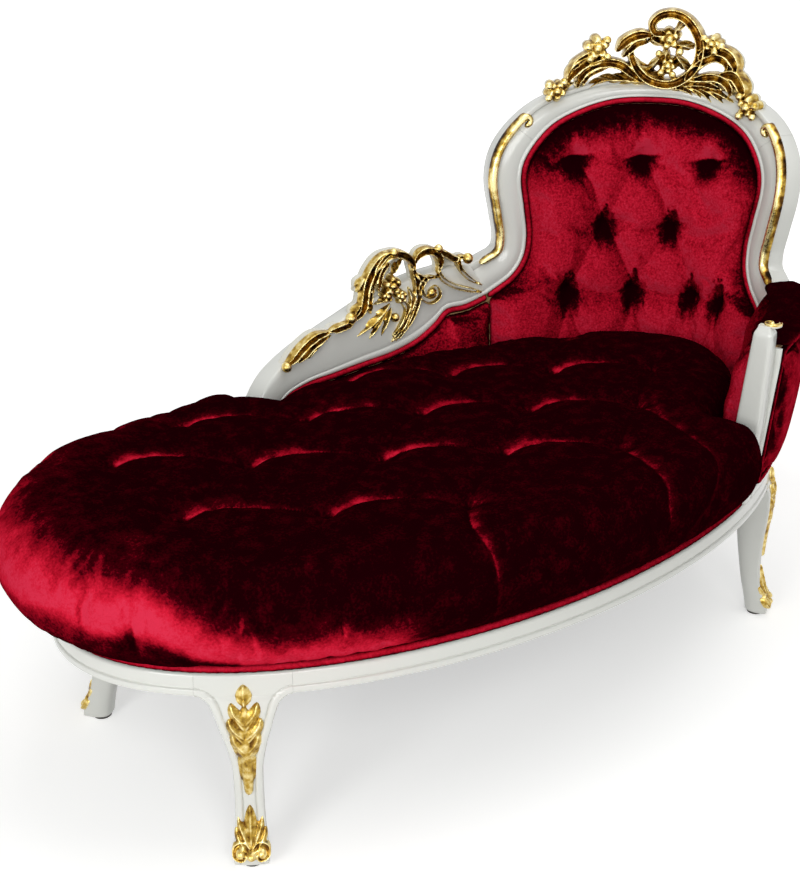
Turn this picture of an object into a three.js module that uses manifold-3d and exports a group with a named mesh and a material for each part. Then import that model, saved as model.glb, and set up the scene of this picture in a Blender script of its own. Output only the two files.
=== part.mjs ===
// A one-armed fainting couch in the rococo style: a long oval seat on four cabriole legs, a tall
// tufted back at the head, a carved wing that falls along the rear side, and one padded arm.
// Millimetres, Z up, X from the foot to the head, Y towards the rear side that carries the wing.
//
// The frame is laid out along the oval seat rail. "Run" is the way along the rail's outer face from
// its tip at the head, rearwards positive. "Height" is above the floor. "Depth" is outwards from the
// rail's face, so that what stands inside it has a negative depth. Above the rail every depth leans
// outwards with the back.
import * as THREE from "three";
import { mergeVertices } from "three/addons/utils/BufferGeometryUtils.js";
import Module from "manifold-3d";

const wasm = await Module();
wasm.setup();

// Clearances and the lean of the back
const fitGap = 0.3;
const facetGap = 0.9;
const weldReach = 0.001;
const softGap = 3;
const backLean = THREE.MathUtils.degToRad(5);

// Seat rail
const seatLength = 1470;
const seatWidth = 790;
const railTop = 327;
const railHeight = 36;
const railThickness = 45;
const railArris = 5;
const railBead = 6;
const railGroove = 2;
const ledgeWidth = 17;
const deckThickness = 12;

// Legs, glides, corner blocks and the pieces under the seat
const legFromTip = 296;
const legHalfWidth = 70;
const legThickness = 50;
const legToe = 24;
const glideRadius = 16;
const glideThickness = 4;
const blockOverlap = 34;
const blockThickness = 32;
const blockHeight = 20;
const braceWidth = 60;
const braceHeight = 20;
const braceClearance = 20;
const coverThickness = 2;
const coverMargin = 12;

// Frame of the back, the wing and the arm
const frameThickness = 45;
const frameRound = 3;
const backCentre = 206;
const backHalf = 251;
const backRise = 598;
const frameWidth = 62;
const beadHeight = 10;
const wingLength = 559;
const wingRise = 313;
const armLength = 374;
const armRise = 285;
const armRailHeight = 40;
const armRailInset = 10;
const armSillHeight = 16;
const armPostWidth = 36;
const armPostRise = 316;
const postWidth = 40;
const postThickness = 20;

// Upholstery
const cushionBulge = 30;
const cushionInset = 84;
const cushionRise = 167;
const cushionEdge = 80;
const cushionBlend = 75;
const cushionEndBlend = 36;
const tuftPitchX = 320;
const tuftPitchY = 191;
const tuftFirstX = -573;
const tuftDepth = 24;
const tuftReach = 48;
const backTuftPitch = 155;
const backTuftRow = 124;
const backTuftTop = 806;
const pipeRadius = 5;
const boardSet = 34;
const boardThickness = 6;
const panelCrown = 8;
const padEdge = 5;
const padCrown = 34;
const wingPadCrown = 32;
const armRollRise = 38;
const armRollOver = 14;

// Carving
const crestHalf = 200;
const crestBase = 930;
const crestRise = 155;
const carvingRelief = 11;
const carvingThickness = 36;
const scrollWidth = 17;
const wingCarvingBase = 460;
const wingCarvingRise = 200;
const wingCarvingStart = 560;
const wingCarvingLength = 530;
const leafRise = 8;
const kneeLeafHalf = 19;
const kneeLeafTop = 305;
const kneeLeafLength = 155;

// Shares of the sizes above, chosen by hand
const legShares = [
  // height of the leg, half width, outer depth of the toe, inner depth of the thickness
  [0.0, 0.26, 0.7, -0.32],
  [0.015, 0.34, 0.92, -0.4],
  [0.05, 0.37, 0.92, -0.44],
  [0.11, 0.36, 0.58, -0.52],
  [0.2, 0.33, 0.2, -0.66],
  [0.32, 0.315, 0, -0.8],
  [0.48, 0.32, 0.04, -0.96],
  [0.62, 0.41, 0.2, -1.06],
  [0.72, 0.53, 0.29, -1.04],
  [0.8, 0.63, 0.29, -1],
  [0.85, 0.72, 0.2, -0.96],
  [0.872, 0.82, 0.12, -0.9],
];
const legSectionShares = [
  // across the half width, from the outer face to the inner one
  [-1, 0.2], [-0.86, 0.02], [-0.7, 0.07], [0, 0], [0.7, 0.07], [0.86, 0.02],
  [1, 0.2], [0.9, 0.62], [0.5, 1], [0, 1.03], [-0.5, 1], [-0.9, 0.62],
];
const legTopShares = [
  [-1, 0], [-0.67, 0], [-0.33, 0], [0, 0], [0.33, 0], [0.67, 0],
  [1, 0], [1, 1], [0.5, 1], [0, 1], [-0.5, 1], [-1, 1],
];
const backShares = [
  // from the middle of the back to one side, along the half width and the rise
  [0, 1], [0.27, 0.993], [0.53, 0.962], [0.74, 0.918], [0.88, 0.862], [0.975, 0.8], [1, 0.745],
  [0.975, 0.65], [0.955, 0.56], [0.985, 0.488], [1.08, 0.432], [1.303, 0.376],
];
const frameWidthShares = [0.55, 0.57, 0.66, 0.8, 0.92, 1, 1.02, 1, 0.97, 0.97, 1.02, 1.12];
const wingInnerShares = [
  // along the wing's length and its rise above the rail
  [0.084, 0.67], [0.165, 0.655], [0.215, 0.58], [0.285, 0.505], [0.39, 0.45],
  [0.52, 0.425], [0.64, 0.405], [0.76, 0.39], [0.86, 0.34], [0.915, 0.22], [0.93, 0.001],
];
const wingOuterShares = [
  [0.13, 0.925], [0.2, 0.91], [0.27, 0.895], [0.35, 0.865], [0.45, 0.81],
  [0.57, 0.73], [0.69, 0.655], [0.81, 0.575], [0.92, 0.46], [0.985, 0.3], [1, 0.001],
];
const cushionShares = [
  // inwards along the rounded edge, and up the rise
  [0.64, 0], [0.63, 0.04], [0.2, 0.12], [0.04, 0.26], [0, 0.42], [0.04, 0.58], [0.14, 0.73],
  [0.32, 0.87], [0.6, 0.96], [1, 0.99],
];
const cushionRingShares = [0.89, 0.77, 0.65, 0.52, 0.39, 0.26, 0.12];
const padRingShares = [1, 0.985, 0.93, 0.82, 0.7, 0.58, 0.46, 0.34, 0.22, 0.08];
const stripPadShares = [
  // from the lower edge to the upper one, and up the crown
  [0, 0], [0.06, 0.6], [0.25, 0.94], [0.5, 1], [0.75, 0.94], [0.94, 0.6], [1, 0],
];
const rollShares = [
  // across the arm from the inner side, and up the roll
  [0, 0], [-0.1, 0.32], [0.06, 0.74], [0.34, 0.98], [0.66, 0.98], [0.94, 0.74], [1.1, 0.32], [1, 0],
];
const frameProfileShares = [
  // across the width from the opening, and from the front of the thickness to the rear
  [0, 0.1], [0.05, 0.02], [0.16, 0], [0.45, 0.04], [0.68, 0.15], [0.78, 0.2], [1, 0.2],
  [1, 0.94], [0.95, 1], [0.05, 1], [0, 0.94],
];
const beadProfileShares = [
  // across the width, and up the bead's height
  [0.8, 0], [0.825, 0.62], [0.9, 1], [0.975, 0.62], [1, 0],
];

const scrollTipShare = 0.62;
const petalCutShare = 0.26;
const flowerRingShares = [[0.3, 1], [0.45, 0.75], [1, 0.6], [0.96, 0]];
const blockTaperShare = 0.45;
const coverClearShare = 1.3;
const beadSeatShare = 0.8;
const railBeadShares = [[0.4, 1.5], [0.4, 0.5]];
const stripEndShare = 0.1;
const stripSwellShare = 8;
const beadSpanShares = { bead_rear: [0.02, 0.335], bead_head: [0.665, 0.98] };
const pipeDepthShare = 0.9;
const wingPadShare = 0.9;
const wingPipingShares = [0.015, 0.9];
const backSheetShare = 1.4;
const plugRingShares = [1, 0.66, 0.33];
const leafShoulderShare = 0.55;
const leafShoulderRiseShare = 0.75;
const railHollowShare = 0.3;
const ringScrollShares = [
  // along half the crest from its middle, and up its rise
  [0, 0.74], [0.03, 0.84], [-0.04, 0.965], [-0.14, 1], [-0.27, 0.945], [-0.38, 0.79],
  [-0.43, 0.63], [-0.42, 0.415], [-0.33, 0.24], [-0.19, 0.165], [-0.03, 0.17], [0.1, 0.26],
  [0.17, 0.38], [0.2, 0.49],
];
const crestScrollShares = [
  [[0, 0.69], [0.1, 0.72], [0.22, 0.68], [0.3, 0.6], [0.42, 0.5]],
  [[0.84, -0.08], [0.8, 0.12], [0.66, 0.29], [0.5, 0.355], [0.33, 0.35], [0.2, 0.27], [0.06, 0.12]],
  [[0.62, -0.06], [0.53, 0.1], [0.38, 0.17], [0.22, 0.2], [0.09, 0.16], [-0.08, 0.1]],
  [[-0.4, 0.68], [-0.54, 0.7], [-0.66, 0.62], [-0.72, 0.5]],
  [[-0.3, 0.16], [-0.43, 0.42], [-0.55, 0.56], [-0.69, 0.6], [-0.78, 0.5], [-0.8, 0.37],
   [-0.71, 0.36], [-0.62, 0.44], [-0.5, 0.4]],
  [[-0.3, 0.14], [-0.5, 0.285], [-0.65, 0.355], [-0.8, 0.345], [-0.88, 0.245], [-0.92, 0.13],
   [-0.82, 0.11], [-0.73, 0.185], [-0.6, 0.24]],
  [[-0.3, 0.12], [-0.43, 0.14], [-0.56, 0.1], [-0.68, 0.04], [-0.82, -0.05]],
  [[-0.12, 0.86], [-0.16, 0.6], [-0.16, 0.35], [-0.14, 0.05]],
  [[0.02, 0.58], [-0.08, 0.5], [-0.16, 0.34]],
];
const crestFlowerShares = [
  // place, then the radius as a share of half the crest
  [0.52, 0.42, 0.13], [0.9, -0.02, 0.12], [-0.9, 0, 0.15], [-0.17, 0.58, 0.11],
];
const wingScrollShares = [
  // along the wing's carving from the back, and up its rise
  [[0.02, 0.86], [0.17, 0.93], [0.25, 0.95], [0.3, 0.84]],
  [[0.39, 0.62], [0.37, 0.8], [0.35, 0.95]],
  [[0.28, 0.84], [0.33, 0.95], [0.38, 0.98], [0.43, 0.93], [0.48, 0.82], [0.56, 0.66]],
  [[0.43, 0.9], [0.47, 0.71], [0.53, 0.52], [0.57, 0.4], [0.64, 0.33]],
  [[0.36, 0.75], [0.33, 0.62], [0.3, 0.46], [0.32, 0.27], [0.4, 0.1]],
  [[0.37, 0.56], [0.4, 0.45], [0.45, 0.34], [0.5, 0.27], [0.57, 0.19]],
  [[0.56, 0.42], [0.66, 0.38], [0.74, 0.31], [0.82, 0.2], [0.89, 0.06]],
  [[0.34, 0.62], [0.26, 0.66], [0.17, 0.62], [0.16, 0.48], [0.24, 0.45], [0.27, 0.54]],
];
const wingFlowerShares = [
  // place, then the radius as a share of the carving's length
  [0.39, 0.62, 0.056], [0.6, 0.38, 0.032],
];
const kneeLeafShares = [
  // down the leaf's length, half width, rise of its rib
  [0, 0.05, 0.3], [0.097, 0.53, 0.9], [0.16, 0.32, 0.6], [0.226, 0.9, 1], [0.3, 0.58, 0.7],
  [0.355, 1, 1], [0.43, 0.63, 0.7], [0.52, 0.9, 0.9], [0.61, 0.47, 0.8], [0.74, 0.37, 0.7],
  [1, 0.24, 0.5],
];
const armPostShares = [
  // up the rise, along the post's width, and in from its outer face
  [0, 1, 0], [0.12, 1.02, 0], [0.4, 0.98, 0.03], [0.7, 0.92, 0.12], [0.88, 0.86, 0.2],
  [0.97, 0.76, 0.26], [1, 0.55, 0.36],
];

const materials = {
  lacquer: { color: 0xe9e7de, roughness: 0.22, metalness: 0 },
  gilt: { color: 0xa8802f, roughness: 0.32, metalness: 1 },
  velvet: { color: 0x7d0716, roughness: 0.8, metalness: 0 },
  wood: { color: 0xb08a5a, roughness: 0.7, metalness: 0 },
  cloth: { color: 0x1c1a1a, roughness: 0.95, metalness: 0 },
  nylon: { color: 0x33302c, roughness: 0.5, metalness: 0 },
};

const curveStep = 0.004;

// Places along the oval

const OVAL_STEPS = 1440;
const halfLength = seatLength / 2;
const halfWidth = seatWidth / 2;
const runAtStep = [0];
for (let i = 1; i <= OVAL_STEPS; i++) {
  const angle = ((i - 0.5) / OVAL_STEPS) * Math.PI;
  const speed = Math.hypot(halfLength * Math.sin(angle), halfWidth * Math.cos(angle));
  runAtStep.push(runAtStep[i - 1] + (speed * Math.PI) / OVAL_STEPS);
}
const halfRound = runAtStep[OVAL_STEPS];

function ovalAngle(run) {
  const turns = Math.round(run / (2 * halfRound));
  const rest = run - turns * 2 * halfRound;
  const length = Math.abs(rest);
  let low = 0;
  let high = OVAL_STEPS;
  while (high - low > 1) {
    const middle = (low + high) >> 1;
    if (runAtStep[middle] <= length) low = middle;
    else high = middle;
  }
  const part = (length - runAtStep[low]) / (runAtStep[high] - runAtStep[low]);
  return Math.sign(rest) * ((low + part) / OVAL_STEPS) * Math.PI;
}

function place(run, height, depth) {
  const angle = ovalAngle(run);
  const normal = new THREE.Vector2(
    Math.cos(angle) / halfLength,
    Math.sin(angle) / halfWidth,
  ).normalize();
  const out = depth + Math.tan(backLean) * Math.max(height - railTop, 0);
  return new THREE.Vector3(
    halfLength * Math.cos(angle) + normal.x * out,
    halfWidth * Math.sin(angle) + normal.y * out,
    height,
  );
}

function steps(from, to, count) {
  return Array.from({ length: count + 1 }, (_, i) => from + ((to - from) * i) / count);
}

const mix = THREE.MathUtils.lerp;

// Solids from sections

function capTriangles(ring) {
  const normal = new THREE.Vector3();
  ring.forEach((p, i) => {
    const q = ring[(i + 1) % ring.length];
    normal.add(
      new THREE.Vector3(
        (p.y - q.y) * (p.z + q.z),
        (p.z - q.z) * (p.x + q.x),
        (p.x - q.x) * (p.y + q.y),
      ),
    );
  });
  normal.normalize();
  const turn = new THREE.Quaternion().setFromUnitVectors(normal, new THREE.Vector3(0, 0, 1));
  const flat = ring.map((p) => {
    const q = p.clone().applyQuaternion(turn);
    return new THREE.Vector2(q.x, q.y);
  });
  return THREE.ShapeUtils.triangulateShape(flat, []);
}

function closedGeometry(points, faces) {
  let volume = 0;
  const cross = new THREE.Vector3();
  for (const [a, b, c] of faces) {
    volume += points[a].dot(cross.crossVectors(points[b], points[c]));
  }
  const index = faces.flatMap(([a, b, c]) => (volume < 0 ? [a, c, b] : [a, b, c]));
  const geometry = new THREE.BufferGeometry().setFromPoints(points);
  geometry.setIndex(index);
  geometry.computeVertexNormals();
  return geometry;
}

// A solid through a row of sections, each a ring of as many points, with its two ends filled.
function loft(sections) {
  const count = sections[0].length;
  const faces = [];
  for (let i = 0; i + 1 < sections.length; i++) {
    for (let j = 0; j < count; j++) {
      const k = (j + 1) % count;
      const a = i * count + j;
      const b = i * count + k;
      faces.push([a, a + count, b + count], [a, b + count, b]);
    }
  }
  const last = (sections.length - 1) * count;
  for (const [a, b, c] of capTriangles(sections[0])) faces.push([a, b, c]);
  for (const [a, b, c] of capTriangles(sections.at(-1))) {
    faces.push([last + a, last + c, last + b]);
  }
  return closedGeometry(sections.flat(), faces);
}

function solidOf(geometry) {
  const bare = geometry.clone();
  bare.deleteAttribute("normal");
  bare.deleteAttribute("uv");
  const merged = mergeVertices(bare, weldReach);
  return new wasm.Manifold(
    new wasm.Mesh({
      numProp: 3,
      vertProperties: merged.attributes.position.array,
      triVerts: new Uint32Array(merged.index.array),
    }),
  );
}

function geometryOf(manifold) {
  const mesh = manifold.getMesh();
  const geometry = new THREE.BufferGeometry();
  const places = new Float32Array(mesh.numVert * 3);
  for (let i = 0; i < mesh.numVert; i++) {
    places.set(mesh.vertProperties.subarray(i * mesh.numProp, i * mesh.numProp + 3), i * 3);
  }
  geometry.setAttribute("position", new THREE.BufferAttribute(places, 3));
  geometry.setIndex(new THREE.BufferAttribute(mesh.triVerts, 1));
  geometry.computeVertexNormals();
  return geometry;
}

function joined(geometries) {
  return geometries.map(solidOf).reduce((whole, piece) => whole.add(piece));
}

function cutBy(geometry, cutters) {
  return geometryOf(cutters.reduce((rest, cutter) => rest.subtract(solidOf(cutter)), solidOf(geometry)));
}

// A member between two edges, each a function of the same share from 0 to 1 that gives run and
// height. The profile's points are shares across the member and depths.
function memberBetween(inner, outer, profile, shares) {
  return loft(
    shares.map((t) => {
      const a = inner(t);
      const b = outer(t);
      return profile.map(([across, depth]) =>
        place(mix(a.x, b.x, across), mix(a.y, b.y, across), depth),
      );
    }),
  );
}

function spline(points) {
  const curve = new THREE.CatmullRomCurve3(points.map(([x, y]) => new THREE.Vector3(x, y, 0)));
  return (t) => curve.getPoint(THREE.MathUtils.clamp(t, 0, 1));
}

// A carved scroll: a tapered bar of rounded section that follows points of run and height.
function scroll(points, width, front, back, stepCount, sides = 4) {
  const curve = new THREE.CatmullRomCurve3(points.map(([x, y]) => new THREE.Vector3(x, y, 0)));
  const middle = (front + back) / 2;
  const half = Math.abs(front - back) / 2;
  return loft(
    steps(0, 1, stepCount).map((t) => {
      const at = curve.getPoint(t);
      const along = curve.getTangent(t);
      const reach = width * mix(scrollTipShare, 1, Math.sin(Math.PI * t));
      return steps(0, 2 * Math.PI, sides).slice(0, -1).map((angle) => {
        const across = (reach / 2) * Math.cos(angle);
        return place(
          at.x - along.y * across,
          at.y + along.x * across,
          middle + half * Math.sin(angle),
        );
      });
    }),
  );
}

// A carved flower: a dome with five round petals and a raised heart.
function flower(run, height, radius, front, back) {
  const petals = 5;
  const count = 3 * petals;
  const points = [];
  for (const [reach, rise] of flowerRingShares) {
    for (let i = 0; i < count; i++) {
      const angle = (i / count) * 2 * Math.PI;
      const petal = 1 - (petalCutShare * reach * (1 - Math.cos(petals * angle))) / 2;
      const out = radius * reach * petal;
      points.push(
        place(run + out * Math.cos(angle), height + out * Math.sin(angle), mix(back, front, rise)),
      );
    }
  }
  return loft(flowerRingShares.map((_, k) => points.slice(k * count, (k + 1) * count)));
}

const nodes = [];

function add(name, material, geometry) {
  const look = new THREE.MeshStandardMaterial(materials[material]);
  const mesh = new THREE.Mesh(geometry, look);
  mesh.name = name;
  nodes.push(mesh);
}

// Seat rail, legs and what lies between them

const railBottom = railTop - railHeight;
const legRuns = {
  head_front: -legFromTip,
  head_rear: legFromTip,
  foot_rear: halfRound - legFromTip,
  foot_front: -(halfRound - legFromTip),
};
const railSpans = {
  head: [legRuns.head_front, legRuns.head_rear, 14],
  rear: [legRuns.head_rear, legRuns.foot_rear, 20],
  foot: [legRuns.foot_rear, legRuns.foot_front + 2 * halfRound, 14],
  front: [legRuns.foot_front, legRuns.head_front, 20],
};

function railProfile() {
  const beadTop = railBottom + 2 * railBead;
  const ledge = railTop - deckThickness;
  return [
    [-railArris, railTop],
    [-railArris * railHollowShare, railTop - railArris * railHollowShare],
    [0, railTop - railArris],
    [0, beadTop + railGroove],
    [-railGroove, beadTop],
    ...railBeadShares.map(([out, up]) => [railBead * out, railBottom + railBead * up]),
    [-railGroove, railBottom],
    [-railThickness, railBottom],
    [-railThickness, ledge],
    [-railThickness + ledgeWidth, ledge],
    [-railThickness + ledgeWidth, railTop],
  ];
}

function ringRuns() {
  const runs = [];
  for (const [from, to, count] of Object.values(railSpans)) {
    runs.push(...steps(from + legHalfWidth, to - legHalfWidth, count));
    runs.push(...steps(to - legHalfWidth, to + legHalfWidth, 4).slice(1, -1));
  }
  return runs;
}

function addRails() {
  const profile = railProfile();
  for (const [name, [from, to, count]] of Object.entries(railSpans)) {
    const ends = steps(from + legHalfWidth, to - legHalfWidth, count);
    ends[0] += fitGap;
    ends[ends.length - 1] -= fitGap;
    add(
      `seat_rail_${name}`,
      "lacquer",
      loft(ends.map((run) => profile.map(([depth, height]) => place(run, height, depth)))),
    );
  }
}

function legGeometry(run) {
  const bottom = glideThickness;
  const height = railTop - bottom;
  const ledge = railTop - deckThickness;
  const top = [
    [railBottom, 1, 0, -railThickness],
    [ledge, 1, 0, -railThickness],
    [ledge, 1, 0, -railThickness + ledgeWidth],
    [railTop - railArris, 1, 0, -railThickness + ledgeWidth],
    [railTop, 1, -railArris, -railThickness + ledgeWidth],
  ];
  const lower = legShares.map(([rise, width, outer, inner]) => [
    bottom + rise * height,
    width,
    outer * legToe,
    inner * legThickness,
  ]);
  const section = (rows, shares) =>
    rows.map(([level, width, outer, inner]) =>
      shares.map(([across, through]) =>
        place(run + across * width * legHalfWidth, level, mix(outer, inner, through)),
      ),
    );
  return loft([...section(lower, legSectionShares), ...section(top, legTopShares)]);
}

function addLegs() {
  for (const [name, run] of Object.entries(legRuns)) {
    add(`leg_${name}`, "lacquer", legGeometry(run));
    const glide = new THREE.CylinderGeometry(
      glideRadius,
      glideRadius,
      glideThickness - fitGap,
      16,
    ).rotateX(Math.PI / 2);
    const foot = place(run, (glideThickness - fitGap) / 2, 0);
    add(`glide_${name}`, "nylon", glide.translate(foot.x, foot.y, foot.z));
  }
}

function addBlocks() {
  const top = railTop - deckThickness - fitGap;
  const front = -railThickness - facetGap;
  for (const [name, run] of Object.entries(legRuns)) {
    const reach = legHalfWidth + blockOverlap;
    const stops = [-reach, ...steps(-legHalfWidth, legHalfWidth, 4), reach];
    const sections = stops.map((stop) => {
      const back = front - blockThickness * (1 - blockTaperShare * Math.abs(stop / reach));
      const at = run + stop;
      return [
        place(at, top, front),
        place(at, top - blockHeight, front),
        place(at, top - blockHeight, back),
        place(at, top, back),
      ];
    });
    add(`corner_block_${name}`, "wood", loft(sections));
  }
}

function prism(outline, bottom, top) {
  return loft([
    outline.map((p) => new THREE.Vector3(p.x, p.y, bottom)),
    outline.map((p) => new THREE.Vector3(p.x, p.y, top)),
  ]);
}

function innerHalfWidth(x) {
  const ring = ringRuns().map((run) => place(run, railTop, -railThickness));
  for (let i = 0; i + 1 < ring.length; i++) {
    const [a, b] = [ring[i], ring[i + 1]];
    if (a.y > 0 && b.y > 0 && a.x >= x && b.x <= x) return mix(a.y, b.y, (a.x - x) / (a.x - b.x));
  }
  return 0;
}

// The middle of the brace that lies between the corner blocks of one end, clear of their inner ends.
function endBraceMiddle() {
  const reach = legHalfWidth + blockOverlap;
  const depths = [0, blockThickness * (1 - blockTaperShare)];
  const ends = depths.map(
    (depth) => place(legFromTip + reach, railBottom, -railThickness - facetGap - depth).x,
  );
  return Math.min(...ends) - braceClearance - braceWidth / 2;
}

function addDeck() {
  const deckDepth = -railThickness + ledgeWidth - fitGap;
  const deckOutline = ringRuns().map((run) => place(run, railTop, deckDepth));
  add("seat_deck", "wood", prism(deckOutline, railTop - deckThickness + fitGap, railTop));

  const braceTop = railTop - deckThickness;
  for (const [index, name] of ["foot", "middle", "head"].entries()) {
    const x = (index - 1) * endBraceMiddle();
    const edge = Math.abs(x) + braceWidth / 2;
    const reach = innerHalfWidth(edge) - fitGap;
    const brace = new THREE.BoxGeometry(braceWidth, 2 * reach, braceHeight);
    add(`seat_brace_${name}`, "wood", brace.translate(x, 0, braceTop - braceHeight / 2));
  }

  const everyOther = ringRuns().filter((_, i) => i % 2 === 0);
  const coverOutline = everyOther.map((run) => {
    const near = Object.values(legRuns).some((leg) => {
      const apart = Math.abs(run - leg);
      return Math.min(apart, 2 * halfRound - apart) < legHalfWidth * coverClearShare;
    });
    return place(run, railTop, near ? -legThickness * coverClearShare : -coverMargin);
  });
  const coverTop = railBottom - fitGap;
  add("dust_cover", "cloth", prism(coverOutline, coverTop - coverThickness, coverTop));
}

// Frame of the back, the wing and the arm

const backSide = backShares.map(([x, y]) => [x * backHalf, railTop + y * backRise]);
const backWhole = [
  ...backSide.slice(1).reverse().map(([x, y]) => [backCentre + x, y]),
  ...backSide.map(([x, y]) => [backCentre - x, y]),
];
const widthWhole = [...frameWidthShares.slice(1).reverse(), ...frameWidthShares].map(
  (share) => share * frameWidth,
);
const backInner = spline(backWhole);
const backWidth = spline(widthWhole.map((w, i) => [i, w]));
const lastStop = backWhole.length - 1;

function backOuter(t) {
  const at = backInner(t);
  const before = backInner(t - curveStep);
  const after = backInner(t + curveStep);
  const along = after.clone().sub(before).normalize();
  const width = backWidth(t).y;
  return new THREE.Vector3(at.x + along.y * width, at.y - along.x * width, 0);
}

function frameProfile(grow = 0) {
  return frameProfileShares.map(([across, through]) => [
    across + (across < 0.5 ? -grow : grow) / frameWidth,
    mix(-frameThickness - grow, grow, through),
  ]);
}

function backShareAt(stop) {
  return stop / lastStop;
}

const jointStop = 4;
const jointGapShare = 0.0003;
const sideStops = backSide.length - 1;
const frameShares = {
  stile_rear: steps(0, backShareAt(sideStops - jointStop) - jointGapShare, 22),
  crest_rail: steps(backShareAt(sideStops - jointStop), backShareAt(sideStops + jointStop), 24),
  stile_head: steps(backShareAt(sideStops + jointStop) + jointGapShare, 1, 22),
};

function backMember(name, grow = 0) {
  return memberBetween(backInner, backOuter, frameProfile(grow), frameShares[name]);
}

function addBackFrame() {
  for (const name of Object.keys(frameShares)) add(name, "lacquer", backMember(name));
}

const wingStart = backCentre + backSide.at(-1)[0];
const wingPoint = ([x, y]) => [wingStart + x * wingLength, railTop + y * wingRise];
const edgePoint = ({ x, y }) => [x, y];
const wingInner = spline([edgePoint(backInner(0)), ...wingInnerShares.map(wingPoint)]);
const wingOuter = spline([edgePoint(backOuter(0)), ...wingOuterShares.map(wingPoint)]);

function wingMember(grow = 0) {
  const clear = (edge) => (t) => {
    const at = edge(t);
    at.x += fitGap;
    at.y = Math.max(at.y, railTop + fitGap - grow);
    return at;
  };
  return memberBetween(clear(wingInner), clear(wingOuter), frameProfile(grow), steps(0, 1, 34));
}

// A bead on the front of the frame's outer edge, from one share of the frame's line to another.
function addBeads() {
  const floor = -frameThickness * beadSeatShare - 2 * fitGap;
  const profile = beadProfileShares.map(([across, rise]) => [across, floor - rise * beadHeight]);
  const frameStops = Object.values(frameShares).flat();
  for (const [name, [from, to]] of Object.entries(beadSpanShares)) {
    const stops = [from, ...frameStops.filter((t) => t > from && t < to), to];
    add(name, "gilt", memberBetween(backInner, backOuter, profile, stops));
  }
}

const boardFront = -boardSet;
const boardBack = boardFront + boardThickness;
const padBack = boardFront - fitGap;
const postFront = boardBack + fitGap;
const postBack = postFront + postThickness;
const panelFront = postBack + facetGap;
const boardInset = softGap;
const pipeInset = pipeRadius + fitGap;
const pipeDepth = -pipeDepthShare * frameThickness;
const padInset = 2 * pipeInset + softGap;

// Hidden uprights that carry the stiles, cut to the underside of the frame.
function addPosts() {
  const flare = backSide.at(-1);
  const top = flare[1] + postWidth / 2;
  for (const [name, side] of [["rear", 1], ["head", -1]]) {
    const run = backCentre + side * (flare[0] - postWidth);
    const upright = loft(
      steps(railTop + fitGap, top, 4).map((height) => [
        place(run - postWidth / 2, height, postFront),
        place(run, height, postFront),
        place(run + postWidth / 2, height, postFront),
        place(run + postWidth / 2, height, postBack),
        place(run, height, postBack),
        place(run - postWidth / 2, height, postBack),
      ]),
    );
    add(`back_post_${name}`, "wood", cutBy(upright, [backMember(`stile_${name}`, fitGap)]));
  }
}

const armHead = backInner(1);
const armHeadTop = backOuter(1);
const armEnd = armHead.x - armLength;
const armPostFoot = armEnd - armPostWidth / 2;
const armPostHead = armEnd + armPostWidth / 2;
const armTop = railTop + armRise;

// The run of the head stile's end face at a height, where the arm starts.
function armFace(height) {
  const share = (height - armHead.y) / (armHeadTop.y - armHead.y);
  return mix(armHead.x, armHeadTop.x, THREE.MathUtils.clamp(share, 0, 1)) - facetGap;
}

function armMember(corners, count) {
  const foot = armPostHead + fitGap;
  return loft(
    steps(0, 1, count).map((t) =>
      corners.map(([height, depth]) => place(mix(armFace(height), foot, t), height, depth)),
    ),
  );
}

function addArmFrame() {
  const cut = frameRound * 2;
  const sections = armPostShares.map(([rise, width, taper]) => {
    const height = railTop + fitGap + rise * (armPostRise - fitGap);
    const half = (width * armPostWidth) / 2;
    const outer = -taper * frameThickness;
    const inner = -frameThickness;
    return [
      place(armEnd - half, height, inner + cut), place(armEnd - half + cut, height, inner),
      place(armEnd + half - cut, height, inner), place(armEnd + half, height, inner + cut),
      place(armEnd + half, height, outer - cut), place(armEnd + half - cut, height, outer),
      place(armEnd - half + cut, height, outer), place(armEnd - half, height, outer - cut),
    ];
  });
  add("arm_post", "lacquer", loft(sections));

  const bottom = armTop - armRailHeight;
  const [inner, outer] = [-frameThickness + armRailInset, -armRailInset];
  const railCorners = [[bottom, inner], [bottom, outer], [armTop, outer], [armTop, inner]];
  add("arm_rail", "wood", armMember(railCorners, 12));
  const sillBottom = railTop + fitGap;
  const sillTop = railTop + armSillHeight;
  const sillCorners = [
    [sillBottom, -frameThickness], [sillBottom, 0], [sillTop - frameRound, 0],
    [sillTop, -frameRound], [sillTop, -frameThickness],
  ];
  add("arm_sill", "lacquer", armMember(sillCorners, 12));
}

// Upholstery

// Moves the nearest point of a grid to each tuft, so that every button has its own dip, and gives
// the tufts that lie on the grid.
function snapToTufts(grid, tufts) {
  return tufts.filter(([x, y]) => {
    const far = (p) => Math.hypot(p[0] - x, p[1] - y);
    const nearest = grid.reduce((best, p) => (far(p) < far(best) ? p : best));
    const reached = far(nearest) < tuftReach;
    if (reached) [nearest[0], nearest[1]] = [x, y];
    return reached;
  });
}

function tuftDent(tufts, x, y) {
  return tufts.reduce((most, [px, py]) => {
    const far = Math.hypot(x - px, y - py) / tuftReach;
    return Math.max(most, tuftDepth * Math.exp(-2 * far * far));
  }, 0);
}

function seatTufts() {
  const tufts = [];
  for (let column = 0; column < 7; column++) {
    for (let row = -3; row <= 3; row++) {
      const [x, y] = [tuftFirstX + (column * tuftPitchX) / 2, (row * tuftPitchY) / 2];
      if ((column + row) % 2) tufts.push([x, y]);
    }
  }
  return tufts;
}

const wingEnd = wingStart + wingLength + fitGap;
const freeEnd = 2 * halfRound + armPostFoot - softGap;

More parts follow.
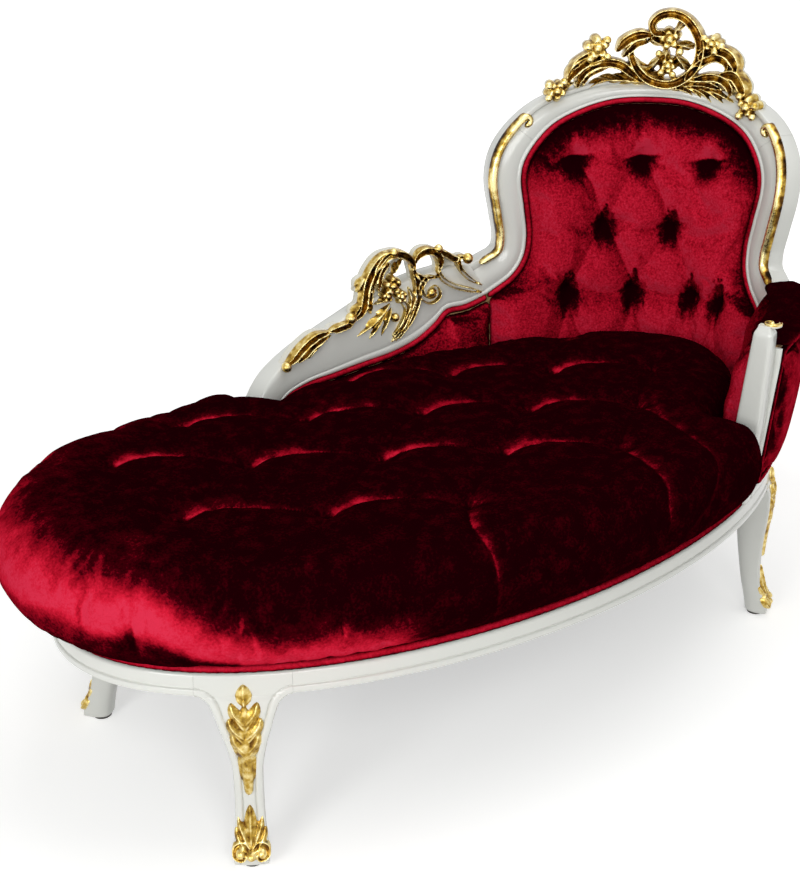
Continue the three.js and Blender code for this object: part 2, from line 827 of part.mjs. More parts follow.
// How far the cushion's side stands out from the rail: over it on the free side, and inside the
// pads where the wing, the back and the arm stand.
function cushionDepth(run) {
  const from = THREE.MathUtils.smoothstep(run, wingEnd + softGap, wingEnd + softGap + cushionBlend);
  const to = 1 - THREE.MathUtils.smoothstep(run, freeEnd - cushionEndBlend, freeEnd);
  return mix(-cushionInset, cushionBulge, Math.min(from, to));
}

function addCushion() {
  const covered = steps(freeEnd - 2 * halfRound, wingEnd, 24);
  const blends = steps(wingEnd, wingEnd + softGap + cushionBlend, 4).slice(1);
  const free = steps(blends.at(-1), freeEnd - cushionEndBlend, 30).slice(1);
  const last = steps(freeEnd - cushionEndBlend, freeEnd, 4).slice(1, -1);
  const runs = [...covered, ...blends, ...free, ...last];
  const bottom = railTop + fitGap;
  const top = railTop + cushionRise;
  const rim = runs.map((run) => place(run, railTop, cushionDepth(run)));
  // Every ring is the rim drawn in towards a spine along the seat's middle.
  const spine = 1 - halfWidth / halfLength;
  const drawn = (share) => rim.map((p) => [p.x * mix(spine, 1, share), p.y * share]);
  const drawnBy = (distance) => 1 - distance / (halfWidth + cushionBulge);
  const sides = cushionShares.map(([inwards, rise]) =>
    drawn(drawnBy(inwards * cushionEdge)).map(
      ([x, y]) => new THREE.Vector3(x, y, mix(bottom, top, rise)),
    ),
  );
  const inner = cushionRingShares.map((share) => drawn(share * drawnBy(cushionEdge)));
  const tufts = snapToTufts(inner.flat(), seatTufts());
  const crown = (x, y) => top - tuftDent(tufts, x, y);
  const rings = inner.map((ring) => ring.map(([x, y]) => new THREE.Vector3(x, y, crown(x, y))));
  add("seat_cushion", "velvet", loft([...sides, ...rings]));
}

// A piping of round section along points of run, height and depth.
function piping(path, stepCount) {
  const spots = steps(0, 1, stepCount).map((t) => path(t));
  const points = spots.map(([run, height, depth]) => place(run, height, depth));
  return loft(
    points.map((at, i) => {
      const before = points[Math.max(i - 1, 0)];
      const after = points[Math.min(i + 1, stepCount)];
      const along = after.clone().sub(before).normalize();
      const [run, height, depth] = spots[i];
      const out = place(run, height, depth + pipeRadius).sub(at);
      const across = new THREE.Vector3().crossVectors(along, out).normalize();
      const up = new THREE.Vector3().crossVectors(across, along);
      return steps(0, 2 * Math.PI, 5).slice(0, -1).map((angle) =>
        at.clone()
          .addScaledVector(across, pipeRadius * Math.cos(angle))
          .addScaledVector(up, pipeRadius * Math.sin(angle)),
      );
    }),
  );
}

function addSeatPiping() {
  const [from, to] = [wingEnd + softGap, freeEnd];
  const height = railTop + pipeInset;
  add(
    "seat_piping",
    "velvet",
    piping((t) => [mix(from, to, t), height, -pipeInset - fitGap], 36),
  );
}

function insetPoint(edge, t, inset) {
  const at = edge(t);
  const along = edge(t + curveStep).sub(edge(t - curveStep)).normalize();
  return [at.x - along.y * inset, at.y + along.x * inset];
}

// The outline of the back's opening: up one side from the rail, round the arch and down again.
function backOpening(inset, shares, lowest) {
  const arch = shares.map((t) => insetPoint(backInner, t, inset));
  const side = (x, from, to) => steps(from, to, 4).map((height) => [x, height]);
  return [
    ...side(arch[0][0], lowest, arch[0][1]).slice(0, -1),
    ...arch,
    ...side(arch.at(-1)[0], arch.at(-1)[1], lowest).slice(1),
    ...steps(arch.at(-1)[0], arch[0][0], 9).slice(1, -1).map((x) => [x, lowest]),
  ];
}

function backTufts() {
  const tufts = [];
  for (let row = 0; row < 3; row++) {
    const columns = row % 2 ? [-0.5, 0.5] : [-1, 0, 1];
    for (const column of columns) {
      tufts.push([backCentre + column * backTuftPitch, backTuftTop - row * backTuftRow]);
    }
  }
  return tufts;
}

const backMiddle = [backCentre, railTop + backRise / 2];

function shrunk(outline, share) {
  return outline.map(([x, y]) => [mix(backMiddle[0], x, share), mix(backMiddle[1], y, share)]);
}

// A curved sheet over the whole back between two depths, bent along the oval.
function backSheet(front, back) {
  const reach = backHalf * backSheetShare;
  const top = railTop + backRise;
  const corners = [[railTop, front], [top, front], [top, back], [railTop, back]];
  return loft(
    steps(backCentre - reach, backCentre + reach, 22).map((run) =>
      corners.map(([height, depth]) => place(run, height, depth)),
    ),
  );
}

function backLayer(outline, front, back) {
  const ring = (share, depth) => shrunk(outline, share).map(([x, y]) => place(x, y, depth));
  const [far, near] = [-2 * frameThickness, frameThickness];
  const plug = loft([
    ...plugRingShares.toReversed().map((share) => ring(share, near)),
    ...plugRingShares.map((share) => ring(share, far)),
  ]);
  return geometryOf(solidOf(backSheet(front, back)).intersect(solidOf(plug)));
}

function addBackUpholstery() {
  const outline = backOpening(padInset, steps(0, 1, 36), railTop + softGap);
  const rings = padRingShares.map((share) => shrunk(outline, share));
  const tufts = snapToTufts(rings.slice(3).flat(), backTufts());
  const front = rings.map((ring, i) =>
    ring.map(([x, y]) => {
      const crown = padCrown * Math.sqrt(1 - Math.pow(padRingShares[i], 6));
      const dent = i > 2 ? tuftDent(tufts, x, y) : 0;
      return place(x, y, -frameThickness - padEdge - crown + dent);
    }),
  );
  const back = plugRingShares.toReversed().map((share) =>
    shrunk(outline, share).map(([x, y]) => place(x, y, frameThickness)),
  );
  const cutter = backSheet(padBack, 3 * frameThickness);
  add("back_pad", "velvet", cutBy(loft([...back, ...front]), [cutter]));

  const frameStops = steps(0, 1, 34);
  const boardOutline = backOpening(boardInset, frameStops, railTop + fitGap);
  add("back_board", "wood", backLayer(boardOutline, boardFront, boardBack));
  add("outside_back_panel", "velvet", backLayer(boardOutline, panelFront, panelCrown));
}

// A padded strip between a lower and an upper line, with a crown that dies away at its ends.
function stripPad(lower, upper, crown, back, front, count) {
  return loft(
    steps(0, 1, count).map((t) => {
      const [a, b] = [lower(t), upper(t)];
      const fromEnd = stripEndShare + stripSwellShare * Math.min(t, 1 - t);
      const swell = crown * Math.sqrt(Math.min(1, fromEnd));
      const face = stripPadShares.map(([across, rise]) =>
        place(mix(a[0], b[0], across), mix(a[1], b[1], across), front - rise * swell),
      );
      return [place(...a, back), ...face, place(...b, back)];
    }),
  );
}

function addWingUpholstery() {
  const edge = (inset) => (t) => {
    const [x, y] = insetPoint(wingInner, t * wingPadShare, -inset);
    return [x + facetGap, y];
  };
  const foot = (height) => (t) => [edge(0)(t)[0], railTop + height];
  const front = -frameThickness - padEdge;
  const pad = stripPad(foot(softGap), edge(padInset), wingPadCrown, padBack, front, 22);
  add("wing_pad", "velvet", pad);
  const point = (line) => (t) => new THREE.Vector3(...line(t), 0);
  const layer = (from, to) =>
    memberBetween(
      point(foot(fitGap)),
      point(edge(boardInset)),
      [[0, from], [1, from], [1, to], [0, to]],
      steps(0, 1, 24),
    );
  add("wing_board", "wood", layer(boardFront, boardBack));
  add("outside_wing_panel", "velvet", layer(panelFront, panelCrown));
}

function addFramePiping() {
  add(
    "back_piping",
    "velvet",
    piping((t) => [...insetPoint(backInner, t, pipeInset + 2 * fitGap), pipeDepth], 48),
  );
  const [first, last] = wingPipingShares;
  const along = (t) => [...insetPoint(wingInner, mix(first, last, t), -pipeInset), pipeDepth];
  add("wing_piping", "velvet", piping(along, 26));
}

function addArmUpholstery() {
  const start = armHeadTop.x - softGap;
  const end = armPostHead + softGap;
  const run = (t) => mix(start, end, t);
  const padFoot = railTop + armSillHeight + softGap;
  const inside = stripPad(
    (t) => [run(t), padFoot],
    (t) => [run(t), armTop - softGap],
    wingPadCrown,
    -frameThickness + armRailInset - facetGap,
    -frameThickness - padEdge,
    12,
  );
  add("arm_inside_pad", "velvet", inside);

  const panelStart = start - padInset - softGap;
  const panelEnd = end + padInset + softGap;
  const panelRun = (t) => mix(panelStart, panelEnd, t);
  const outside = stripPad(
    (t) => [panelRun(t), padFoot + padInset + softGap],
    (t) => [panelRun(t), armTop - padInset - softGap],
    -panelCrown,
    -armRailInset + facetGap,
    padEdge,
    12,
  );
  add("arm_outside_panel", "velvet", outside);

  const left = end + pipeInset;
  const right = start - pipeInset;
  const low = padFoot + pipeInset;
  const high = armTop - pipeInset;
  const loop = new THREE.CurvePath();
  const corners = [[right, high], [left, high], [left, low], [right, low]];
  corners.slice(1).forEach((corner, i) => {
    const from = new THREE.Vector2(...corners[i]);
    loop.add(new THREE.LineCurve(from, new THREE.Vector2(...corner)));
  });
  const around = (t) => [...loop.getPointAt(t).toArray(), 0];
  add("arm_piping", "velvet", piping(around, 36));

  const bottom = armTop + fitGap;
  const [inner, outer] = [-frameThickness - armRollOver, armRollOver];
  const roll = loft(
    steps(start, end, 12).map((at) =>
      rollShares.map(([across, rise]) =>
        place(at, bottom + rise * armRollRise, mix(inner, outer, across)),
      ),
    ),
  );
  add("arm_roll", "velvet", roll);
}

// Carving

function carving(scrolls, flowers, spot, unit, member) {
  const front = -frameThickness - carvingRelief;
  const back = front + carvingThickness;
  const pieces = scrolls.map((shares) => {
    const points = shares.map(spot);
    const count = Math.max(5, Math.round(1.1 * points.length));
    return scroll(points, scrollWidth, front, back, count);
  });
  const flowerHeads = flowers.map(([x, y, radius]) =>
    flower(...spot([x, y]), radius * unit, front - leafRise / 2, back),
  );
  return geometryOf(joined([...pieces, ...flowerHeads]).subtract(solidOf(member)));
}

function addCarvings() {
  add(
    "crest_carving",
    "gilt",
    carving(
      [ringScrollShares, ...crestScrollShares],
      crestFlowerShares,
      ([x, y]) => [backCentre + x * crestHalf, crestBase + y * crestRise],
      crestHalf,
      backMember("crest_rail", fitGap),
    ),
  );
  add(
    "wing_carving",
    "gilt",
    carving(
      wingScrollShares,
      wingFlowerShares,
      ([x, y]) => [
        wingCarvingStart + x * wingCarvingLength,
        wingCarvingBase + y * wingCarvingRise,
      ],
      wingCarvingLength,
      wingMember(fitGap),
    ),
  );
}

// The outer depth of a leg's face at a height.
function legFace(height) {
  const rows = legShares.map(([rise, , outer]) => [
    glideThickness + rise * (railTop - glideThickness),
    outer * legToe,
  ]);
  rows.push([railBottom, 0], [railTop, 0]);
  const above = rows.findIndex(([level]) => level > height);
  const [low, high] = [rows[above - 1], rows[above]];
  return mix(low[1], high[1], (height - low[0]) / (high[0] - low[0]));
}

function addKneeLeaves() {
  for (const [name, run] of Object.entries(legRuns)) {
    const sections = kneeLeafShares.map(([down, width, rise]) => {
      const height = kneeLeafTop - down * kneeLeafLength;
      const half = width * kneeLeafHalf;
      const face = legFace(height) + facetGap;
      const shoulder = leafRise * rise * leafShoulderRiseShare;
      return [
        place(run - half, height, face),
        place(run - half * leafShoulderShare, height, face + shoulder),
        place(run, height, face + leafRise * rise),
        place(run + half * leafShoulderShare, height, face + shoulder),
        place(run + half, height, face),
      ];
    });
    add(`knee_leaf_${name}`, "gilt", loft(sections));
  }
}

addRails();
addLegs();
addBlocks();
addDeck();
addBackFrame();
add("wing_rail", "lacquer", wingMember());
addBeads();
addPosts();
addArmFrame();
addCushion();
addSeatPiping();
addBackUpholstery();
addWingUpholstery();
addFramePiping();
addArmUpholstery();
addCarvings();
addKneeLeaves();

const couch = new THREE.Group();
couch.add(...nodes);
const box = new THREE.Box3().setFromObject(couch);
const middle = box.getCenter(new THREE.Vector3());
couch.position.set(-middle.x, -middle.y, -box.min.z);
export default couch;
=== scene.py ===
"""A one-armed fainting couch in the rococo style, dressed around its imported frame.

The couch is a long oval seat on four cabriole legs, with a tall buttoned back at the head, a
carved wing that falls along the rear side and one padded arm. Most of it stands on the oval rail,
so it is laid out in the rail's developed plane: the run along the rail from its tip at the head,
rearwards positive, the height above the floor and the depth outwards from the rail's face. Sizes
in this file are in millimetres, and Oval.place turns them into the metres of the frame.
"""

from __future__ import annotations

import logging
import math
from dataclasses import dataclass
from enum import Enum
from typing import Callable, Sequence

import bmesh
import bpy
import numpy as np
from mathutils import Euler, Matrix, Vector


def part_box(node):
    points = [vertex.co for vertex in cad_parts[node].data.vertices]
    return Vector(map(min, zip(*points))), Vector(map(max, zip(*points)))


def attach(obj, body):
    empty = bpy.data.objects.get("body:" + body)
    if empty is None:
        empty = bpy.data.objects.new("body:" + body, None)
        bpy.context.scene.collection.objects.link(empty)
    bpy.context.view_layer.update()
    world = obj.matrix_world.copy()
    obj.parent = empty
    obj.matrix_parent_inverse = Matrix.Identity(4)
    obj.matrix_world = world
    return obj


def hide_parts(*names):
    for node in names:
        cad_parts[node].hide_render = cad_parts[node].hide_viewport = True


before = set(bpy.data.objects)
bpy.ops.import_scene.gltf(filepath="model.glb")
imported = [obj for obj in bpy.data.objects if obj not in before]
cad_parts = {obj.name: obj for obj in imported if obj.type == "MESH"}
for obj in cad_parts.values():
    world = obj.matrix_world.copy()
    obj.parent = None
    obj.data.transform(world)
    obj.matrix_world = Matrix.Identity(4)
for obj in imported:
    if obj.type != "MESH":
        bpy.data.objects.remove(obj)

MM = 0.001
BODY = "root"
SEED = 11
WELD = 2e-6
RELIEF_WELD = 0.01
FAR = 1e9
CLEAR = 0.3
log = logging.getLogger("couch")

Array = np.ndarray
Points = np.ndarray
Ints = np.ndarray
Values = np.ndarray | float
Spots = Sequence[Sequence[float]]
Edge = Callable[[np.ndarray], np.ndarray]
Shape = Callable[[np.ndarray, np.ndarray], np.ndarray]
Piece = bpy.types.Object
Tree = bpy.types.NodeTree
Socket = bpy.types.NodeSocket


class Slot(Enum):
    """The material slots."""

    LACQUER = "lacquer"
    GILT = "gilt"
    VELVET = "velvet"
    BARE_WOOD = "bare_wood"
    DUST_CLOTH = "dust_cloth"
    NYLON = "nylon"


class Section(Enum):
    """Cross sections of a carved band, as places across it from -1 to 1 and shares of its rise."""

    RIMMED = (
        (-1, 0), (-1, 0.5), (-0.93, 0.82), (-0.78, 1), (-0.6, 0.93), (-0.45, 0.72), (-0.2, 0.58),
        (0.2, 0.58), (0.45, 0.72), (0.6, 0.93), (0.78, 1), (0.93, 0.82), (1, 0.5), (1, 0),
    )
    ROUND = (
        (-1, 0), (-1, 0.3), (-0.92, 0.58), (-0.7, 0.84), (-0.36, 0.97), (0, 1), (0.36, 0.97),
        (0.7, 0.84), (0.92, 0.58), (1, 0.3), (1, 0),
    )


def smoothstep(value: Values, low: float, high: float) -> Array:
    """Returns 0 below low, 1 above high and a smooth rise between them."""
    share = np.clip((np.asarray(value, float) - low) / (high - low), 0, 1)
    return share * share * (3 - 2 * share)


def window(value: Values, start: float, full: float, last: float, end: float) -> Array:
    """Returns 1 from full to last, 0 before start and after end, and smooth slopes between."""
    return smoothstep(value, start, full) * (1 - smoothstep(value, last, end))


def mix(first: Values, second: Values, share: Values) -> Values:
    """Returns the value between first and second at a share from 0 to 1."""
    return first + (second - first) * share


def linear(colour: str) -> tuple[float, float, float, float]:
    """Turns an sRGB hex colour into linear values with full opacity.

    Args:
        colour: Six hex digits after a hash sign.

    Returns:
        Linear red, green and blue, and an alpha of one.
    """
    channels = [int(colour[i : i + 2], 16) / 255 for i in (1, 3, 5)]
    red, green, blue = (
        c / 12.92 if c <= 0.04045 else ((c + 0.055) / 1.055) ** 2.4 for c in channels
    )
    return red, green, blue, 1.0


class Line:
    """A smooth line through points of the developed plane."""

    def __init__(self, points: Spots) -> None:
        """Keeps the points and one more beyond each end.

        Args:
            points: What the line runs through.
        """
        inner = np.array(points, float)
        first = 2 * inner[0] - inner[1]
        last = 2 * inner[-1] - inner[-2]
        self.points = np.vstack([first, inner, last])
        self.spans = len(inner) - 1

    def at(self, share: Array) -> Points:
        """Returns the points at shares from 0 to 1 of the line's spans.

        Args:
            share: Shares of the line's spans.

        Returns:
            One point for each share.
        """
        where = np.clip(np.atleast_1d(np.asarray(share, float)), 0, 1) * self.spans
        index = np.minimum(where.astype(int), self.spans - 1)
        part = (where - index)[:, None]
        a, b, c, d = (self.points[index + k] for k in range(4))
        ab, bc, cd = (
            np.sqrt(np.linalg.norm(q - p, axis=1))[:, None] for p, q in ((a, b), (b, c), (c, d))
        )
        start = ((b - a) / ab - (c - a) / (ab + bc) + (c - b) / bc) * bc
        end = ((c - b) / bc - (d - b) / (bc + cd) + (d - c) / cd) * bc
        cubic = 2 * b - 2 * c + start + end
        square = 3 * (c - b) - 2 * start - end
        return b + part * (start + part * (square + part * cubic))

    def heading(self, share: Array) -> Points:
        """Returns the unit directions of the line at the shares."""
        return headings(self.at, share)


def headings(edge: Edge, share: Array, step: float = 0.004) -> Points:
    """Returns the unit directions of any edge at the shares, from points a step to either side."""
    along = edge(np.asarray(share) + step) - edge(np.asarray(share) - step)
    return along / np.linalg.norm(along, axis=1)[:, None]


def inset(edge: Edge, share: Array, distance: Values) -> Points:
    """Returns points at a distance, or at one for each share, to the left of an edge.

    Args:
        edge: The edge.
        share: Shares along it.
        distance: How far off its left the points lie.

    Returns:
        One point for each share.
    """
    along = headings(edge, share)
    side = np.column_stack([-along[:, 1], along[:, 0]])
    return edge(share) + np.reshape(distance, (-1, 1)) * side


class Oval:
    """The developed plane of the oval seat rail, and its place in the frame."""

    def __init__(self, half_length: float = 735.0, half_width: float = 395.0) -> None:
        """Measures the way round the oval.

        Args:
            half_length: From the middle to the tip of the rail's outer face.
            half_width: From the middle to the side of the rail's outer face.
        """
        self.half_length = half_length
        self.half_width = half_width
        self.rail_top = 327.0
        self.lean = math.radians(5.0)
        low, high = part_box("seat_deck")
        self.centre = (low + high) / 2
        count = 2880
        middles = (np.arange(count) + 0.5) / count * math.pi
        speed = np.hypot(half_length * np.sin(middles), half_width * np.cos(middles))
        self.runs = np.concatenate([[0.0], np.cumsum(speed) * math.pi / count])
        self.angles = np.linspace(0.0, math.pi, count + 1)
        self.half_round = float(self.runs[-1])

    def angle(self, run: Array) -> Array:
        """Returns the oval's own angle at each run."""
        rest = run - np.round(run / (2 * self.half_round)) * 2 * self.half_round
        return np.sign(rest) * np.interp(np.abs(rest), self.runs, self.angles)

    def run_of(self, x: Array, y: Array) -> Array:
        """Returns the run nearest to points of the floor plan, measured from the oval's middle."""
        angle = np.arctan2(y / self.half_width, x / self.half_length)
        return np.sign(angle) * np.interp(np.abs(angle), self.angles, self.runs)

    def place(self, run: Array, height: Array, depth: Array) -> Points:
        """Bends points of the developed plane round the oval.

        Args:
            run: Way along the rail from the head's tip.
            height: Height above the floor.
            depth: Depth outwards from the rail's face, before the back's lean.

        Returns:
            Points of the frame, in metres.
        """
        run, height, depth = np.broadcast_arrays(
            *(np.asarray(values, float) for values in (run, height, depth))
        )
        angle = self.angle(run)
        across = np.cos(angle) / self.half_length
        along = np.sin(angle) / self.half_width
        size = np.hypot(across, along)
        out = depth + math.tan(self.lean) * np.maximum(height - self.rail_top, 0)
        x = self.half_length * np.cos(angle) + across / size * out
        y = self.half_width * np.sin(angle) + along / size * out
        return np.stack([x * MM + self.centre.x, y * MM + self.centre.y, height * MM], axis=-1)

    def turned(self, flat: Points) -> Points:
        """Places points that are laid out flat, with their third value inwards from the face."""
        return self.place(flat[:, 0], flat[:, 1], -flat[:, 2])


# Meshes


def grid_into(
    work: bmesh.types.BMesh, columns: int, rows: int, shape: Shape, ends: bool = True,
    weld: float = WELD,
) -> None:
    """Adds a grid whose points are moved to a shape, closed round its columns and welded.

    Args:
        work: The mesh that takes the grid.
        columns: Cells across.
        rows: Cells along.
        shape: Gives the points for column and row numbers.
        ends: Whether the open ends are filled.
        weld: Distance within which points are joined.
    """
    part = bmesh.new()
    bmesh.ops.create_grid(part, x_segments=columns, y_segments=rows, size=1.0)
    flat = (np.array([vertex.co[:2] for vertex in part.verts]) + 1) / 2
    column = np.rint(flat[:, 0] * columns).astype(int)
    row = np.rint(flat[:, 1] * rows).astype(int)
    column %= columns
    for vertex, point in zip(part.verts, shape(column, row)):
        vertex.co = point
    bmesh.ops.remove_doubles(part, verts=part.verts, dist=weld)
    if ends:
        rim = [edge for edge in part.edges if edge.is_boundary]
        bmesh.ops.holes_fill(part, edges=rim, sides=0)
    bmesh.ops.recalc_face_normals(part, faces=part.faces)
    carrier = bpy.data.meshes.new("carrier")
    part.to_mesh(carrier)
    part.free()
    work.from_mesh(carrier)
    bpy.data.meshes.remove(carrier)


def piece_of(name: str, work: bmesh.types.BMesh, sharp: float = 50.0) -> Piece:
    """Turns a mesh in work into a smooth object at the origin.

    Args:
        name: The piece's name.
        work: The mesh, which is freed.
        sharp: Angle in degrees above which an edge stays sharp.

    Returns:
        The new object.
    """
    mesh = bpy.data.meshes.new(name)
    work.to_mesh(mesh)
    work.free()
    mesh.shade_smooth()
    mesh.set_sharp_from_angle(angle=math.radians(sharp))
    piece = bpy.data.objects.new(name, mesh)
    bpy.context.scene.collection.objects.link(piece)
    return piece


def swept(
    name: str, columns: int, rows: int, shape: Shape, ends: bool = True, sharp: float = 50.0
) -> Piece:
    """Makes one piece from a single shaped grid, as grid_into does.

    Args:
        name: The piece's name.
        columns: Cells across.
        rows: Cells along.
        shape: Gives the points for column and row numbers.
        ends: Whether the open ends are filled.
        sharp: Angle in degrees above which an edge stays sharp.

    Returns:
        The new piece.
    """
    work = bmesh.new()
    grid_into(work, columns, rows, shape, ends)
    return piece_of(name, work, sharp)


def read(parts: bpy.types.bpy_prop_collection, key: str, width: int, kind: type) -> Array:
    """Returns a property of a mesh's parts, with one row for each part.

    Args:
        parts: The mesh's parts, such as its edges.
        key: The property.
        width: How many values a part has.
        kind: Their type.

    Returns:
        The values.
    """
    values = np.empty(len(parts) * width, kind)
    parts.foreach_get(key, values)
    return values.reshape(-1, width)


def coordinates(piece: Piece) -> Points:
    """Returns a mesh's points."""
    return read(piece.data.vertices, "co", 3, np.float32).astype(float)


def set_coordinates(piece: Piece, points: Points) -> None:
    """Moves a mesh's points."""
    piece.data.vertices.foreach_set("co", points.astype(np.float32).ravel())
    piece.data.update()


def normals(piece: Piece) -> Points:
    """Returns a mesh's normals at its points."""
    return read(piece.data.vertex_normals, "vector", 3, np.float32).astype(float)


def mirrored(piece: Piece, points: Points) -> None:
    """Moves a mesh's points by a mapping that turns it inside out, and turns its faces back.

    Args:
        piece: The piece.
        points: Its points after the mapping.
    """
    set_coordinates(piece, points)
    piece.data.flip_normals()
    piece.data.update()


def edges(piece: Piece) -> Ints:
    """Returns a mesh's edges as pairs of point numbers."""
    return read(piece.data.edges, "vertices", 2, np.int32)


def store(piece: Piece, name: str, values: Array) -> None:
    """Stores a value on each of a mesh's points, for its finish to read."""
    layer = piece.data.attributes.new(name, "FLOAT", "POINT")
    layer.data.foreach_set("value", values.astype(np.float32))


def relaxed(points: Points, pairs: Ints, passes: int, share: float = 0.6) -> Points:
    """Moves each point towards its neighbours' middle, pass after pass.

    Args:
        points: The points.
        pairs: The edges between them.
        passes: How often the points move.
        share: How far they move each time.

    Returns:
        The relaxed points.
    """
    count = np.bincount(pairs.ravel(), minlength=len(points)).clip(1)[:, None]
    for _ in range(passes):
        total = np.zeros_like(points)
        for axis in range(3):
            total[:, axis] = np.bincount(
                pairs[:, 0], points[pairs[:, 1], axis], len(points)
            ) + np.bincount(pairs[:, 1], points[pairs[:, 0], axis], len(points))
        points = mix(points, total / count, share)
    return points


def add_hollows(piece: Piece, passes: int, reach: float) -> None:
    """Stores on each point how deep it lies in a hollow, or stands on a ridge, for painted shade.

    Args:
        piece: The piece, which gets the attribute "hollow" from 0, a ridge, to 1, a hollow.
        passes: How many times the shape is relaxed to find its general run.
        reach: Height of a full ridge or hollow, in metres.
    """
    points = coordinates(piece)
    rise = np.einsum("ij,ij->i", points - relaxed(points, edges(piece), passes), normals(piece))
    store(piece, "hollow", np.clip(0.5 - 0.5 * rise / reach, 0, 1))


def applied(piece: Piece) -> None:
    """Applies a piece's modifiers to its mesh.

    Args:
        piece: The piece.
    """
    depsgraph = bpy.context.evaluated_depsgraph_get()
    mesh = bpy.data.meshes.new_from_object(piece.evaluated_get(depsgraph))
    piece.modifiers.clear()
    old = piece.data
    piece.data = mesh
    mesh.name = piece.name
    bpy.data.meshes.remove(old)


def remeshed(piece: Piece, voxel: float) -> None:
    """Gives a closed piece an even net of faces of a size in metres.

    Args:
        piece: The piece.
        voxel: Size of its faces, in metres.
    """
    net = piece.modifiers.new("net", "REMESH")
    net.mode = "VOXEL"
    net.voxel_size = voxel
    applied(piece)
    piece.data.shade_smooth()


# Finishes


def fill(tree: Tree, made: bpy.types.Node, inputs: dict) -> None:
    """Fills a node's inputs.

    Args:
        tree: The node's tree.
        made: The node.
        inputs: For each input, by name or number, an output to link or a value to set.
    """
    for key, value in inputs.items():
        if isinstance(value, Socket):
            tree.links.new(value, made.inputs[key])
        else:
            made.inputs[key].default_value = value


def node(tree: Tree, kind: str, inputs: dict | None = None, **settings) -> bpy.types.Node:
    """Adds a node to a tree.

    Args:
        tree: The tree.
        kind: The node's type, after its first words.
        inputs: What fills its inputs.
        **settings: The node's own properties.

    Returns:
        The new node.
    """
    made = tree.nodes.new("ShaderNode" + kind)
    for key, value in settings.items():
        setattr(made, key, value)
    fill(tree, made, inputs or {})
    return made


def maths(tree: Tree, operation: str, first: Socket, second: Socket) -> Socket:
    """Returns two values put together by an operation."""
    return node(tree, "Math", {0: first, 1: second}, operation=operation).outputs[0]


def bump(tree: Tree, height: Socket, strength: float, distance: float) -> Socket:
    """Returns the normals of a surface raised by a height, over a distance in metres."""
    inputs = {"Height": height, "Strength": strength, "Distance": distance}
    return node(tree, "Bump", inputs).outputs["Normal"]


def ramp(tree: Tree, factor: Socket, stops: Sequence[tuple[float, str]]) -> Socket:
    """Returns the colour of a ramp with hex colours at its stops.

    Args:
        tree: The ramp's tree.
        factor: Where on the ramp the colour lies.
        stops: Places from 0 to 1 and their hex colours.

    Returns:
        The colour.
    """
    made = node(tree, "ValToRGB", {"Fac": factor})
    elements = made.color_ramp.elements
    while len(elements) < len(stops):
        elements.new(1.0)
    for element, (position, colour) in zip(elements, stops):
        element.position = position
        element.color = linear(colour)
    return made.outputs["Color"]


@dataclass(frozen=True)
class Finish:
    """A finish that makes its own material."""

    name: str
    slot: Slot

    def paint(self, tree: Tree, shader: bpy.types.Node) -> None:
        """Fills the tree of the finish's material."""
        raise NotImplementedError

    def material(self) -> bpy.types.Material:
        """Returns the finish's material, made once.

        Returns:
            The material.
        """
        found = bpy.data.materials.get(self.name)
        if found:
            return found
        made = bpy.data.materials.new(self.name)
        made.use_nodes = True
        tree = made.node_tree
        self.paint(tree, tree.nodes["Principled BSDF"])
        return made

    @staticmethod
    def places(tree: Tree) -> Socket:
        """Returns the object coordinates."""
        return node(tree, "TexCoord").outputs["Object"]

    @staticmethod
    def noise(tree: Tree, size: float, detail: float, rough: float = 0.55) -> Socket:
        """Returns noise whose features are of a size in millimetres."""
        inputs = {
            "Vector": Finish.places(tree),
            "Scale": 1 / (size * MM),
            "Detail": detail,
            "Roughness": rough,
        }
        return node(tree, "TexNoise", inputs).outputs["Fac"]

    @staticmethod
    def carried(tree: Tree, name: str) -> Socket:
        """Returns a value that is stored on the piece's points."""
        return node(tree, "Attribute", attribute_name=name).outputs["Fac"]

    @staticmethod
    def spread(
        tree: Tree, value: Socket, low: float, high: float, start: float = 0.0,
        end: float = 1.0,
    ) -> Socket:
        """Returns a value mapped from low and high to start and end."""
        inputs = {"Value": value, "From Min": low, "From Max": high, "To Min": start, "To Max": end}
        return node(tree, "MapRange", inputs).outputs["Result"]


@dataclass(frozen=True)
class IvoryLacquer(Finish):
    """Sprayed ivory lacquer over beech: an even gloss, a little darker in its hollows by painted
    shade.
    """

    name: str = "ivory_lacquer_sprayed"
    slot: Slot = Slot.LACQUER
    face: str = "#D8D9D3"
    shade: str = "#B3B4A9"

    def paint(self, tree: Tree, shader: bpy.types.Node) -> None:
        """Mixes painted shade into the film's hollows, broken by faint clouds, with a fine orange
        peel.

        Args:
            tree: The material's tree.
            shader: Its surface shader.
        """
        # Painted shade: the colour moves towards the shade colour in the hollows.
        hollows = self.spread(tree, self.carried(tree, "hollow"), 0.52, 0.95)
        painted_hollow_shade = maths(tree, "MULTIPLY", hollows, self.noise(tree, 90.0, 2.0))
        inputs = {
            "Base Color": ramp(tree, painted_hollow_shade, [(0.0, self.face), (1.0, self.shade)]),
            "Roughness": 0.28,
            "IOR": 1.5,
            "Coat Weight": 0.5,
            "Coat Roughness": 0.1,
            # The orange peel of a sprayed film: 5 mm across and only microns deep.
            "Normal": bump(tree, self.noise(tree, 5.0, 1.0), 0.05, 0.0004),
        }
        fill(tree, shader, inputs)


